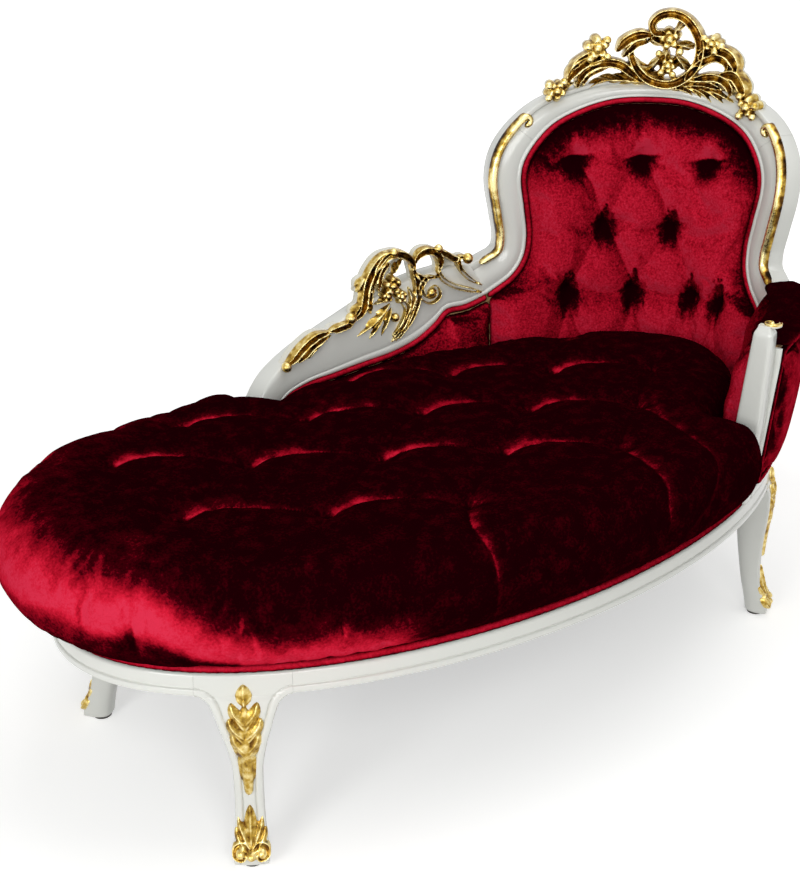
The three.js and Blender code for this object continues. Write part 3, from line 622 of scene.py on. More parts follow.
@dataclass(frozen=True)
class GoldLeaf(Finish):
    """Burnished gold on carved wood: painted highlights on the ridges and painted shade in the
    hollows, with red and umber where it wears.
    """

    name: str = "gold_leaf_burnished"
    slot: Slot = Slot.GILT
    ridge_highlight: str = "#F2E2A4"
    middle: str = "#B4933F"
    bole_and_shade: str = "#63431A"
    umber_and_shade: str = "#20150A"
    edge_white: str = "#DFDDD0"
    backed: bool = False

    def paint(self, tree: Tree, shader: bpy.types.Node) -> None:
        """Colours the metal with painted light and shade by its hollows and with worn clouds, and
        backs it with lacquer.

        Args:
            tree: The material's tree.
            shader: Its surface shader.
        """
        clouds = self.spread(tree, self.noise(tree, 14.0, 3.0), 0.3, 0.7, -0.2, 0.26)
        tone = maths(tree, "ADD", self.carried(tree, "hollow"), clouds)
        # Painted highlight on the ridges and painted shade in the hollows, with bole and umber
        # where it wears.
        stops = [(0.22, self.ridge_highlight), (0.52, self.middle), (0.74, self.bole_and_shade), (0.95, self.umber_and_shade)]
        gold, metal = ramp(tree, tone, stops), 1.0
        if self.backed:
            metal = self.carried(tree, "leaf")
            layers = {0: metal, 6: linear(self.edge_white), 7: gold}
            gold = node(tree, "Mix", layers, data_type="RGBA").outputs[2]
        inputs = {
            "Base Color": gold,
            "Metallic": metal,
            "Roughness": self.spread(tree, self.noise(tree, 6.0, 2.0), 0.3, 0.7, 0.2, 0.38),
            # Tool marks under the leaf, about 7 mm apart.
            "Normal": bump(tree, self.noise(tree, 7.0, 2.0), 0.25, 0.001),
        }
        fill(tree, shader, inputs)


@dataclass(frozen=True)
class CrushedVelvet(Finish):
    """Crimson velvet with a crushed pile, with light and shade painted into its colour.

    Each part of the cover is painted bright where it faces a set light direction and dark where
    it faces away, so the colour is painted from the direction that each part of the cover faces.
    """

    name: str = "velvet_crimson"
    slot: Slot = Slot.VELVET
    # Direction from which light is painted on: parts facing it are painted bright, parts facing
    # away dark.
    lit_from: tuple[float, float, float] = (-0.9, -0.3, -0.3)
    low: float = -0.1
    high: float = 1.0
    clouding: float = 0.3
    sparkle: float = 0.12
    deep: str = "#190003"
    dark: str = "#3A0008"
    body: str = "#960B1E"
    bright: str = "#C61A33"
    painted_highlight: str = "#CE2C46"
    sheen: str = "#C0203A"

    def paint(self, tree: Tree, shader: bpy.types.Node) -> None:
        """Colours the pile with painted light and shade by the way it faces and with its crushed
        clouds, and adds its sheen.

        Args:
            tree: The material's tree.
            shader: Its surface shader.
        """
        # Painted light and shade: the colour is brighter where a part faces the set light
        # direction.
        sides = {0: node(tree, "TexCoord").outputs["Normal"], 1: self.lit_from}
        facing = node(tree, "VectorMath", sides, operation="DOT_PRODUCT")
        painted_facing_light = self.spread(tree, facing.outputs["Value"], self.low, self.high)
        half, fine = self.clouding / 2, self.sparkle
        clouds = self.spread(tree, self.noise(tree, 26.0, 5.0, 0.62), 0.3, 0.7, -half, half)
        # Crushed tufts of pile, 2 mm across, drawn a little coarser so that they show.
        tufts = self.spread(tree, self.noise(tree, 4.0, 2.0, 0.7), 0.3, 0.7, -fine, fine)
        tone = maths(tree, "ADD", painted_facing_light, maths(tree, "ADD", clouds, tufts))
        # Painted light and shade stored on the cover, where it is gathered: bright beside pleats,
        # dark in folds.
        tone = maths(tree, "ADD", tone, self.carried(tree, "painted_light_and_shade"))
        # Painted shade: the velvet is darker in the cover's hollows and creases.
        painted_crease_shade = self.spread(tree, self.carried(tree, "hollow"), 0.55, 1.0, 0.0, 0.55)
        # The ramp runs from painted shade, through the velvet's own body colour, to a painted
        # highlight.
        places = (0.0, 0.25, 0.55, 0.8, 1.0)
        stops = list(zip(places, (self.deep, self.dark, self.body, self.bright, self.painted_highlight)))
        inputs = {
            "Base Color": ramp(tree, maths(tree, "SUBTRACT", tone, painted_crease_shade), stops),
            "Roughness": 0.75,
            "Specular IOR Level": 0.0,
            "Sheen Weight": 0.02,
            "Sheen Roughness": 0.35,
            "Sheen Tint": linear(self.sheen),
            "Normal": bump(tree, self.noise(tree, 5.0, 3.0, 0.7), 0.5, 0.0012),
        }
        fill(tree, shader, inputs)


@dataclass(frozen=True)
class BareBeech(Finish):
    """Sawn and sanded beech: pale brown with short darker flecks along the grain."""

    name: str = "beech_sanded"
    slot: Slot = Slot.BARE_WOOD

    def paint(self, tree: Tree, shader: bpy.types.Node) -> None:
        """Stretches noise along the board into a grain of 4 mm by 80 mm.

        Args:
            tree: The material's tree.
            shader: Its surface shader.
        """
        along = {"Vector": self.places(tree), "Scale": (12.0, 250.0, 250.0)}
        scaled = node(tree, "Mapping", along).outputs["Vector"]
        grain = {"Vector": scaled, "Scale": 1.0, "Detail": 4.0}
        streaks = node(tree, "TexNoise", grain).outputs["Fac"]
        colour = ramp(tree, streaks, [(0.3, "#9C7246"), (0.5, "#B98F60"), (0.72, "#CDA878")])
        fill(tree, shader, {"Base Color": colour, "Roughness": 0.68})


@dataclass(frozen=True)
class DustCloth(Finish):
    """Black spunbonded dust cloth: matt fibre flecks on near-black."""

    name: str = "dust_cloth_spunbonded"
    slot: Slot = Slot.DUST_CLOTH

    def paint(self, tree: Tree, shader: bpy.types.Node) -> None:
        """Flecks the cloth with bonded fibres of 3 mm."""
        colour = ramp(tree, self.noise(tree, 3.0, 4.0), [(0.35, "#141313"), (0.7, "#2B2929")])
        fill(tree, shader, {"Base Color": colour, "Roughness": 0.95})


@dataclass(frozen=True)
class NylonGlide(Finish):
    """Moulded dark nylon: a soft satin with scuffs from the floor."""

    name: str = "nylon_moulded"
    slot: Slot = Slot.NYLON

    def paint(self, tree: Tree, shader: bpy.types.Node) -> None:
        """Scuffs the satin with marks of 5 mm.

        Args:
            tree: The material's tree.
            shader: Its surface shader.
        """
        scuffs = self.noise(tree, 5.0, 4.0)
        colour = ramp(tree, scuffs, [(0.3, "#2A2825"), (0.75, "#45413B")])
        rough = self.spread(tree, scuffs, 0.3, 0.7, 0.4, 0.65)
        fill(tree, shader, {"Base Color": colour, "Roughness": rough})


LACQUER = IvoryLacquer()
GOLD = GoldLeaf()
GOLD_ON_WHITE = GoldLeaf(name="gold_leaf_on_ivory", backed=True)
# Each velvet below paints its light from a different direction: lit and shaded copies of one cloth.
SEAT_VELVET = CrushedVelvet(
    name="velvet_seat", lit_from=(-0.95, 0.1, 0.12), low=0.4, high=1.5, clouding=0.3
)
BACK_VELVET = CrushedVelvet(
    name="velvet_back", lit_from=(-0.8, -0.2, -0.57), low=-0.45, high=1.05, clouding=0.07,
    sparkle=0.2,
)
ARM_VELVET = CrushedVelvet(
    name="velvet_arm", lit_from=(0.6, -0.78, -0.15), low=0.1, high=1.5, clouding=0.3
)
ROLL_VELVET = CrushedVelvet(
    name="velvet_roll", lit_from=(0.5, -0.8, -0.3), low=0.1, high=1.7, clouding=0.25
)
PIPING_VELVET = CrushedVelvet(
    name="velvet_piping", lit_from=(-0.5, -0.6, 0.62), low=0.1, high=1.25, clouding=0.2
)
OUTSIDE_VELVET = CrushedVelvet(
    name="velvet_outside", lit_from=(0.5, 0.85, -0.1), low=-0.6, high=1.6, clouding=0.3
)
BEECH = BareBeech()
CLOTH = DustCloth()
NYLON = NylonGlide()


class Workshop:
    """Hands finished pieces to the frame."""

    @staticmethod
    def deliver(piece: Piece, finish: Finish, *stands_for: str, fill: float | None = None) -> Piece:
        """Dresses a piece and ties it to the couch.

        Args:
            piece: The finished mesh.
            finish: Its finish.
            *stands_for: The frame's nodes that it stands for.
            fill: How full it is, where it is padded; not used.

        Returns:
            The piece.
        """
        if "hollow" not in piece.data.attributes:
            add_hollows(piece, 6, 0.0015)
        piece.data.materials.clear()
        piece.data.materials.append(finish.material())
        if stands_for:
            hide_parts(*stands_for)
        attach(piece, BODY)
        log.info("%s: %d faces, %s", piece.name, len(piece.data.polygons), finish.name)
        return piece


# Wooden frame


@dataclass
class SeatRail:
    """The oval rail in four lengths between the legs, with a white bead along its lower edge."""

    oval: Oval
    height: float = 36.0
    thickness: float = 45.0
    bead: float = 12.0
    bead_rise: float = 2.6
    groove: float = 1.6
    leg_from_tip: float = 296.0
    leg_half: float = 70.0
    rounding: float = 6.0
    rebate: float = 28.0
    rebate_height: float = 12.0
    gap: float = CLEAR
    rows: int = 96

    def moulding(self, distance: Array) -> Array:
        """Returns how far the face stands out at a distance from its lower edge.

        Args:
            distance: Distances from the edge.

        Returns:
            Depths outwards.
        """
        share = distance / self.bead
        bead = self.bead_rise * np.sqrt(np.clip(1 - (2 * share - 1) ** 2, 0, 1))
        inside = mix(-self.groove, bead, smoothstep(share, 0.0, 0.12)) * (share < 1)
        quirk = -self.groove * np.exp(-(((distance - self.bead - 0.7) / 1.1) ** 2))
        return np.where(share < 1, inside, 0) + quirk

    def profile(self) -> Points:
        """Returns the rail's section as depths and heights, from the top round the front.

        Returns:
            The section's points.
        """
        top = self.oval.rail_top
        bottom = top - self.height
        turn = np.linspace(0, 1.57, 7)
        r = self.rounding
        rounded = np.column_stack([-r + r * np.sin(turn), top - r + r * np.cos(turn)])
        face = np.concatenate([np.linspace(24, 15, 6), np.linspace(14.4, 0.2, 34)])
        front = np.column_stack([self.moulding(face), bottom + face])
        step = top - self.rebate_height
        back = [
            (-self.thickness, bottom), (-self.thickness, step), (-self.rebate, step),
            (-self.rebate, top), (-self.rebate / 2, top),
        ]
        return np.vstack([rounded, front, back])

    def legs(self) -> dict[str, float]:
        """Returns the run of each leg by name."""
        far = self.oval.half_round - self.leg_from_tip
        return {
            "head_front": -self.leg_from_tip,
            "head_rear": self.leg_from_tip,
            "foot_rear": far,
            "foot_front": -far,
        }

    def build(self) -> None:
        """Makes the four lengths."""
        runs = self.legs()
        whole = 2 * self.oval.half_round
        spans = {
            "head": (runs["head_front"], runs["head_rear"]),
            "rear": (runs["head_rear"], runs["foot_rear"]),
            "foot": (runs["foot_rear"], runs["foot_front"] + whole),
            "front": (runs["foot_front"], runs["head_front"]),
        }
        section = self.profile()
        for name, (start, end) in spans.items():
            low = start + self.leg_half + self.gap
            high = end - self.leg_half - self.gap

            def shape(i: Ints, j: Ints, low: float = low, high: float = high) -> Points:
                """Runs the section along one length."""
                return self.oval.place(mix(low, high, j / self.rows), section[i, 1], section[i, 0])

            piece = swept(f"rail_{name}", len(section), self.rows, shape, sharp=35.0)
            Workshop.deliver(piece, LACQUER, f"seat_rail_{name}")


LEG_TABLE = np.array(
    [
        # share of the height, half width, outer depth of the toe, inner depth of the thickness
        (0.0, 0.26, 0.7, -0.32), (0.015, 0.34, 0.92, -0.4), (0.05, 0.37, 0.92, -0.44),
        (0.11, 0.36, 0.58, -0.52), (0.2, 0.33, 0.2, -0.66), (0.32, 0.315, 0.0, -0.8),
        (0.48, 0.32, 0.04, -0.96), (0.62, 0.41, 0.2, -1.06), (0.72, 0.53, 0.29, -1.04),
        (0.8, 0.63, 0.29, -1.0), (0.85, 0.72, 0.2, -0.96), (0.872, 0.82, 0.12, -0.9),
        (0.892, 1.0, 0.0, -0.9),
    ]
)


def smooth_table(table: Points, column: int, at: Array) -> Array:
    """Reads a column of a table between its rows on a curve that never overshoots.

    Args:
        table: Rows in order of their first column.
        column: The column to read.
        at: Values of the first column.

    Returns:
        The column's values.
    """
    x, y = table[:, 0], table[:, column]
    slope = np.diff(y) / np.diff(x)
    both, total = slope[:-1] * slope[1:], slope[:-1] + slope[1:]
    inner = np.where(both > 0, 2 * slope[:-1] * slope[1:] / np.where(total == 0, 1, total), 0)
    bend = np.concatenate([[slope[0]], inner, [slope[-1]]])
    index = np.clip(np.searchsorted(x, at, side="right") - 1, 0, len(x) - 2)
    width = x[index + 1] - x[index]
    t = np.clip((at - x[index]) / width, 0, 1)
    return (
        (1 + 2 * t) * (1 - t) ** 2 * y[index]
        + t * (1 - t) ** 2 * width * bend[index]
        + t * t * (3 - 2 * t) * y[index + 1]
        + t * t * (t - 1) * width * bend[index + 1]
    )


@dataclass
class Legs:
    """Four cabriole legs whose face is bordered by the rail's bead, with gilt leaves on them."""

    oval: Oval
    rail: SeatRail
    foot: float = 4.0
    half_width: float = 70.0
    thickness: float = 50.0
    toe: float = 24.0
    face_columns: int = 56
    back_columns: int = 24
    rows: int = 150

    def share(self, height: Array) -> Array:
        """Returns a height as a share of the leg."""
        return (height - self.foot) / (self.oval.rail_top - self.foot)

    def outer(self, height: Array) -> Array:
        """Returns the depth of the leg's face at a height."""
        bottom = self.oval.rail_top - self.rail.height
        return np.where(
            height >= bottom, 0.0, smooth_table(LEG_TABLE, 2, self.share(height)) * self.toe
        )

    def half(self, height: Array) -> Array:
        """Returns the leg's half width at a height."""
        share = np.minimum(self.share(height), LEG_TABLE[-1, 0])
        return smooth_table(LEG_TABLE, 1, share) * self.half_width

    def border(self, across: Array, height: Array) -> Array:
        """Returns the distance from points of the face to its outline, which runs into the rail.

        Args:
            across: Way across from the leg's middle.
            height: Heights above the floor.

        Returns:
            The distances.
        """
        bottom = self.oval.rail_top - self.rail.height
        levels = np.linspace(self.foot + 14, bottom, 160)
        outline = np.column_stack([self.half(levels), levels])
        outline = np.vstack([outline, [[self.half_width + k * 2.0, bottom] for k in range(1, 30)]])
        best = np.full(len(across), FAR)
        for x, z in outline:
            best = np.minimum(best, np.hypot(np.abs(across) - x, height - z))
        return best

    def build(self) -> None:
        """Makes the legs."""
        top = self.oval.rail_top
        bottom = top - self.rail.height
        step, r = top - self.rail.rebate_height, self.rail.rounding
        heights = np.concatenate(
            [
                np.linspace(self.foot, bottom - 30, 96),
                np.linspace(bottom - 29, bottom + 16, 44),
                [step - 4, step - 0.01, step, top - r],
                top - r + r * np.sin(np.linspace(0.26, 1.57, 5)),
            ]
        )
        face = np.sin(np.linspace(-1, 1, self.face_columns + 1) * math.pi / 2)
        turn = np.linspace(0, math.pi, self.back_columns + 1)[1:-1]
        ring = len(face) + len(turn)
        for name, run in self.rail.legs().items():

            def shape(i: Ints, j: Ints, run: float = run) -> Points:
                """Gives the moulded face and the round back of one leg."""
                height = heights[j]
                half = np.where(height < bottom, self.half(height), self.half_width)
                outer = self.outer(height)
                low_share = np.minimum(self.share(height), LEG_TABLE[-1, 0])
                inner = smooth_table(LEG_TABLE, 3, low_share)
                inner = np.where(height < bottom, inner * self.thickness, -self.rail.thickness)
                inner = np.where(height > step - 0.005, -self.rail.rebate, inner)
                on_face = i < len(face)
                across = face[np.minimum(i, len(face) - 1)] * half
                edge = self.border(across, height)
                stand = self.rail.moulding(edge)
                crown = -2.5 * (across / np.maximum(half, 1)) ** 2 * (height < bottom)
                rounded = r - np.sqrt(np.clip(r**2 - (height - top + r) ** 2, 0, r**2))
                arris = np.where(height > top - r, rounded, 0)
                depth = outer + stand + crown - arris
                angle = turn[np.clip(i - len(face), 0, len(turn) - 1)]
                square = np.where(height < bottom, 0.75, 0.2)
                c, s = np.cos(angle), np.sin(angle)
                back_across = np.sign(c) * np.abs(c) ** square * half
                back_depth = mix(outer - 3, inner, np.abs(s) ** square)
                return self.oval.place(
                    run + np.where(on_face, across, back_across),
                    height,
                    np.where(on_face, depth, back_depth),
                )

            piece = swept(f"cabriole_leg_{name}", ring, len(heights) - 1, shape, sharp=45.0)
            Workshop.deliver(piece, LACQUER, f"leg_{name}")


@dataclass
class BackFrame:
    """The arched frame of the back: two stiles and the crest rail, with gilt beads."""

    oval: Oval
    centre: float = 206.0
    half: float = 251.0
    rise: float = 598.0
    width: float = 62.0
    joint_stop: int = 4
    lip: float = 6.5
    lip_span: tuple = (0.31, 0.35, 0.65, 0.69)
    rows: int = 110
    side: tuple = (
        (0, 1), (0.27, 0.993), (0.53, 0.962), (0.74, 0.918), (0.88, 0.862), (0.975, 0.8),
        (1, 0.745), (0.975, 0.65), (0.955, 0.56), (0.985, 0.488), (1.08, 0.432), (1.303, 0.376),
    )
    widths: tuple = (0.55, 0.57, 0.66, 0.8, 0.92, 1, 1.02, 1, 0.97, 0.97, 1.02, 1.12)
    face: tuple = (
        # across the frame from the opening, and the depth of its face
        (0, -38.5), (0, -41.2), (0.012, -43.3), (0.035, -44.6), (0.065, -45.0), (0.095, -44.7),
        (0.115, -43.8), (0.13, -43.2), (0.15, -43.1), (0.175, -43.5), (0.22, -44.2), (0.3, -44.6),
        (0.4, -44.3), (0.5, -43.2), (0.6, -41.2), (0.68, -38.9), (0.74, -37.0), (0.77, -35.9),
        (0.785, -35.3), (0.8, -35.6), (0.82, -36.0), (0.9, -36.0), (0.97, -35.6), (0.99, -34.8),
        (1, -33.2), (1, -3.2), (0.985, -1.2), (0.955, 0), (0.5, 0), (0.04, 0), (0.012, -1.2),
        (0, -3.2),
    )

    def __post_init__(self) -> None:
        """Lays out the opening's line and the frame's width along it."""
        rail = self.oval.rail_top
        side = [(x * self.half, rail + y * self.rise) for x, y in self.side]
        points = [(self.centre + x, y) for x, y in reversed(side[1:])]
        points += [(self.centre - x, y) for x, y in side]
        self.opening = Line(points)
        widths = [share * self.width for share in (*reversed(self.widths[1:]), *self.widths)]
        self.widths_line = Line([(i, w) for i, w in enumerate(widths)])
        self.last = len(points) - 1

    def inner(self, share: Array) -> Points:
        """Returns points of the frame's edge at the opening, from the wing to the arm."""
        return self.opening.at(share)

    def outer(self, share: Array) -> Points:
        """Returns points of the frame's outer edge.

        Args:
            share: Shares of the way along it.

        Returns:
            One point for each share.
        """
        share = np.clip(share, 0, 1)
        width = self.widths_line.at(share)[:, 1]
        return inset(self.opening.at, share, -width)

    def between(self, share: Array, across: float) -> Points:
        """Returns points at a share of the way from the opening to the outer edge."""
        return mix(self.inner(share), self.outer(share), across)

    def build(self) -> None:
        """Makes the stiles, the crest rail and the two beads."""
        low = (len(self.side) - 1 - self.joint_stop) / self.last
        spans = {
            "stile_rear": (0.0, low - 0.0003),
            "crest_rail": (low, 1 - low),
            "stile_head": (1 - low + 0.0003, 1.0),
        }
        section = np.array(self.face)
        for name, (first, last) in spans.items():

            def shape(i: Ints, j: Ints, first: float = first, last: float = last) -> Points:
                """Runs the section along one part, with a lip on the crest rail."""
                share = mix(first, last, j / self.rows)
                across = section[i, 0][:, None]
                at = mix(self.inner(share), self.outer(share), across)
                middle = window(share, *self.lip_span)
                lip = self.lip * middle * smoothstep(section[i, 0], 0.7, 0.86)
                lip = np.where(section[i, 1] < -30, lip, 0)
                return self.oval.place(at[:, 0], at[:, 1], section[i, 1] - lip)

            piece = swept(f"{name}_moulded", len(section), self.rows, shape, sharp=40.0)
            Workshop.deliver(piece, LACQUER, name)
        self.beads()

    def beads(self) -> None:
        """Makes the gilt beads, each with its upper end rolled into a small curl."""
        for name, (first, last) in {
            "bead_rear": (0.012, 0.335),
            "bead_head": (0.988, 0.665),
        }.items():
            share = np.linspace(first, last, 40)
            line = self.between(share, 0.9)
            along = line[-1] - line[-2]
            along /= np.linalg.norm(along)
            side = np.array([-along[1], along[0]]) * (1 if name == "bead_rear" else -1)
            turn = np.linspace(0.35, 4.4, 9)
            radius = np.linspace(9.0, 5.0, 9)
            curl = [
                line[-1] + along * r * math.sin(t) + side * (9.0 - r * math.cos(t))
                for t, r in zip(turn, radius)
            ]
            relief = Relief()
            relief.band(
                np.vstack([line, curl]), 17.0, 33.0, 48.0, Section.ROUND, rows=150, thin=0.75
            )
            piece = relief.laid(f"gilt_{name}", self.oval, 38.0, 46.0)
            Workshop.deliver(piece, GOLD, name)


@dataclass
class WingFrame:
    """The white frame of the wing, from the rear stile down to the seat rail."""

    oval: Oval
    back: BackFrame
    length: float = 559.0
    rise: float = 313.0
    gap: float = CLEAR
    rows: int = 150
    inner_shares: tuple = (
        (0.084, 0.67), (0.165, 0.655), (0.215, 0.58), (0.285, 0.505), (0.39, 0.45),
        (0.52, 0.425), (0.64, 0.405), (0.76, 0.39), (0.86, 0.34), (0.915, 0.22), (0.93, 0.001),
    )
    outer_shares: tuple = (
        (0.13, 0.925), (0.2, 0.91), (0.27, 0.895), (0.35, 0.865), (0.45, 0.81), (0.57, 0.73),
        (0.69, 0.655), (0.81, 0.575), (0.92, 0.46), (0.985, 0.3), (1, 0.001),
    )
    face: tuple = (
        (0, -38.5), (0, -41.2), (0.02, -43.6), (0.045, -44.7), (0.07, -45.0), (0.095, -44.7),
        (0.11, -44.0), (0.12, -43.2), (0.135, -43.2), (0.15, -43.9), (0.2, -44.6), (0.4, -45.0),
        (0.6, -44.8), (0.8, -43.8), (0.93, -42.2), (0.98, -40.2), (1, -37.5), (1, -3.2),
        (0.985, -1.2), (0.955, 0), (0.5, 0), (0.04, 0), (0.012, -1.2), (0, -3.2),
    )

    def __post_init__(self) -> None:
        """Lays out the wing's two edges, which start at the rear stile's foot."""
        self.start = self.back.centre + self.back.half * self.back.side[-1][0]
        zero = np.zeros(1)

        def spot(share: Sequence[float]) -> tuple[float, float]:
            """Turns shares of the wing into a point."""
            return (
                self.start + share[0] * self.length,
                self.oval.rail_top + share[1] * self.rise,
            )

        self.inner_line = Line([self.back.inner(zero)[0], *map(spot, self.inner_shares)])
        self.outer_line = Line([self.back.outer(zero)[0], *map(spot, self.outer_shares)])

    def clear(self, points: Points) -> Points:
        """Keeps points off the stile and the rail by the joint's gap."""
        return np.column_stack(
            [points[:, 0] + self.gap, np.maximum(points[:, 1], self.oval.rail_top + self.gap)]
        )

    def inner(self, share: Array) -> Points:
        """Returns points of the edge at the pad."""
        return self.clear(self.inner_line.at(share))

    def outer(self, share: Array) -> Points:
        """Returns points of the outer edge."""
        return self.clear(self.outer_line.at(share))

    def build(self) -> None:
        """Makes the wing's frame."""
        section = np.array(self.face)

        def shape(i: Ints, j: Ints) -> Points:
            """Runs the section along the wing."""
            share = j / self.rows
            at = mix(self.inner(share), self.outer(share), section[i, 0][:, None])
            return self.oval.place(at[:, 0], at[:, 1], section[i, 1])

        piece = swept("wing_rail_moulded", len(section), self.rows, shape, sharp=40.0)
        Workshop.deliver(piece, LACQUER, "wing_rail")


# Carving


class Relief:
    """Carved work laid out flat: x along the run, y up and z out of the face, in millimetres."""

    def __init__(self) -> None:
        """Starts with nothing carved."""
        self.work = bmesh.new()

    def band(
        self, points: Spots, width: float, base: float, top: float,
        section: Section = Section.RIMMED, rows: int | None = None, thin: float = 0.35,
    ) -> None:
        """Adds a band along points, narrower towards its ends.

        Args:
            points: Points of the band's middle line.
            width: Width at its widest.
            base: Height of its back.
            top: Height of its face.
            section: Its cross section.
            rows: Cells along it.
            thin: Share of the width at either end.
        """
        line = Line(points)
        profile = np.array(section.value, float)
        count = rows or 12 * line.spans

        def shape(i: Ints, j: Ints) -> Points:
            """Gives the band's points, its ends closed in."""
            share = j / count
            at = line.at(share)
            along = line.heading(share)
            swell = mix(thin, 1, smoothstep(share, 0, 0.3))
            swell = swell * mix(1, thin, smoothstep(share, 0.7, 1))
            close = np.sqrt(np.clip(np.minimum(share, 1 - share) * count / 2.5, 0, 1))
            close = mix(0.3, 1, close)
            across = profile[i, 0] * width / 2 * swell * close
            height = base + (top - base) * profile[i, 1] * mix(0.8, 1, swell) * mix(0.7, 1, close)
            height = np.where(profile[i, 1] == 0, base, height)
            return np.column_stack(
                [at[:, 0] - along[:, 1] * across, at[:, 1] + along[:, 0] * across, height]
            )

        grid_into(self.work, len(profile), count, shape, weld=RELIEF_WELD)

    def leaf(
        self, points: Spots, width: float, base: float, top: float,
        lobes: float = 4.0, lean: float = 0.5, rows: int | None = None,
    ) -> None:
        """Adds an acanthus leaf: a pointed blade with a rib, lobed edges and veins.

        Args:
            points: Points of the leaf's rib from its stalk to its tip.
            width: Width at its widest.
            base: Height of its back.
            top: Height of its rib.
            lobes: How many lobes each side has.
            lean: How far the lobes sweep towards the tip.
            rows: Cells along it.
        """
        line = Line(points)
        across_shares = np.concatenate([np.linspace(-1, 1, 17), [0.6, -0.6]])
        count = rows or 14 * line.spans

        def shape(i: Ints, j: Ints) -> Points:
            """Gives the blade's points, notched between its lobes."""
            share = j / count
            a = across_shares[i]
            under = i >= 17
            phase = lobes * share - lean * np.abs(a)
            part = phase - np.floor(phase)
            notch = np.exp(-((np.minimum(part, 1 - part) / 0.13) ** 2)) * (lobes > 0)
            blade = np.sin(np.pi * np.clip(share, 0, 1) ** 0.8) ** 0.6
            blade = np.maximum(blade, 0.25 * (share < 0.5))
            half = width / 2 * blade * (1 - 0.34 * notch * (np.abs(a) > 0.4))
            forward = lean * np.abs(a) ** 1.5 / max(lobes, 1.0) * 0.9 * (lobes > 0)
            at = line.at(share + forward)
            along = line.heading(share)
            rise = 1 - 0.6 * np.abs(a) ** 1.6 - 0.34 * notch * np.abs(a) ** 0.6
            rise = rise + 0.22 * np.exp(-((a / 0.16) ** 2))
            rise = rise * mix(0.55, 1, blade) * 0.82
            height = np.where(under, base, base + (top - base) * np.maximum(rise, 0.08))
            offset = a * half
            return np.column_stack(
                [at[:, 0] - along[:, 1] * offset, at[:, 1] + along[:, 0] * offset, height]
            )

        grid_into(self.work, len(across_shares), count, shape, weld=RELIEF_WELD)

    def ball(self, x: float, y: float, radius: float, height: float, squash: float = 1.0) -> None:
        """Adds a bead of a radius whose middle is at a height.

        Args:
            x: Its run.
            y: Its place up the carving.
            radius: Its radius.
            height: Height of its middle.
            squash: Its rise as a share of its radius.
        """
        size = Matrix.Diagonal((radius, radius, radius * squash, 1))
        place = Matrix.Translation((x, y, height)) @ size
        bmesh.ops.create_icosphere(self.work, subdivisions=3, radius=1.0, matrix=place)

    def blossom(
        self, x: float, y: float, radius: float, base: float, top: float, turn: float
    ) -> None:
        """Adds a flower of five cupped petals round a ball.

        Args:
            x: Its run.
            y: Its place up the carving.
            radius: Radius of its petals' tips.
            base: Height of its back.
            top: Height of its petals.
            turn: Angle by which it is turned.
        """
        count, rings, petals = 60, 10, 5

        def shape(i: Ints, j: Ints) -> Points:
            """Gives the petals' points, round by round."""
            angle = i / count * 2 * math.pi
            share = j / rings
            wave = np.abs(np.cos(petals / 2 * (angle - turn)))
            reach = radius * (0.62 + 0.38 * wave**0.6)
            out = reach * share
            cup = 0.45 + 0.5 * np.sin(np.pi * np.clip(share, 0, 1) ** 1.2)
            cup = cup - 0.28 * (1 - wave**0.5) * share
            height = base + (top - base) * cup
            height = np.where(j == rings, base, height)
            out = np.where(j == rings, reach * 0.96, out)
            return np.column_stack([x + out * np.cos(angle), y + out * np.sin(angle), height])

        grid_into(self.work, count, rings, shape, weld=RELIEF_WELD)
        self.ball(x, y, radius * 0.3, mix(base, top, 0.86), 0.8)

    def laid(self, name: str, oval: Oval, base: float, top: float) -> Piece:
        """Bends the carving round the oval as it is, with painted light on top and painted shade at
        its foot.

        Args:
            name: The piece's name.
            oval: The rail's oval.
            base: Height at which it is darkest.
            top: Height from which it is bright.

        Returns:
            The piece.
        """
        piece = piece_of(name, self.work, 60.0)
        flat = coordinates(piece)
        # Painted light on top and painted shade towards the foot, broken by random streaks of tone.
        up = smoothstep(flat[:, 2], base, top)
        streaks = 0.2 * wander(flat[:, :2] * np.array([1.0, 0.6]), 46, SEED + 60)
        store(piece, "hollow", mix(0.8, 0.24, up) + streaks)
        mirrored(piece, oval.turned(flat))
        return piece

    def carved(
        self, name: str, place: Callable[[Points], Points], voxel: float = 1.5,
        leaf_from: float | None = None,
    ) -> Piece:
        """Cuts the carving from one block and puts it in its place.

        Args:
            name: The piece's name.
            place: Turns flat points in millimetres into points of the frame in metres.
            voxel: Size of the net of faces, in millimetres.
            leaf_from: Height above which the carving is gilt, where its back is white. Such a
                carving faces inwards, so its place turns it inside out.

        Returns:
            The carved piece.
        """
        piece = piece_of(name, self.work)
        remeshed(piece, voxel)
        flat = relaxed(coordinates(piece), edges(piece), 1, 0.5)
        if leaf_from is None:
            set_coordinates(piece, place(flat))
        else:
            store(piece, "leaf", smoothstep(flat[:, 2], leaf_from - 0.8, leaf_from + 0.8))
            mirrored(piece, place(flat))
        add_hollows(piece, 14, 0.002)
        return piece


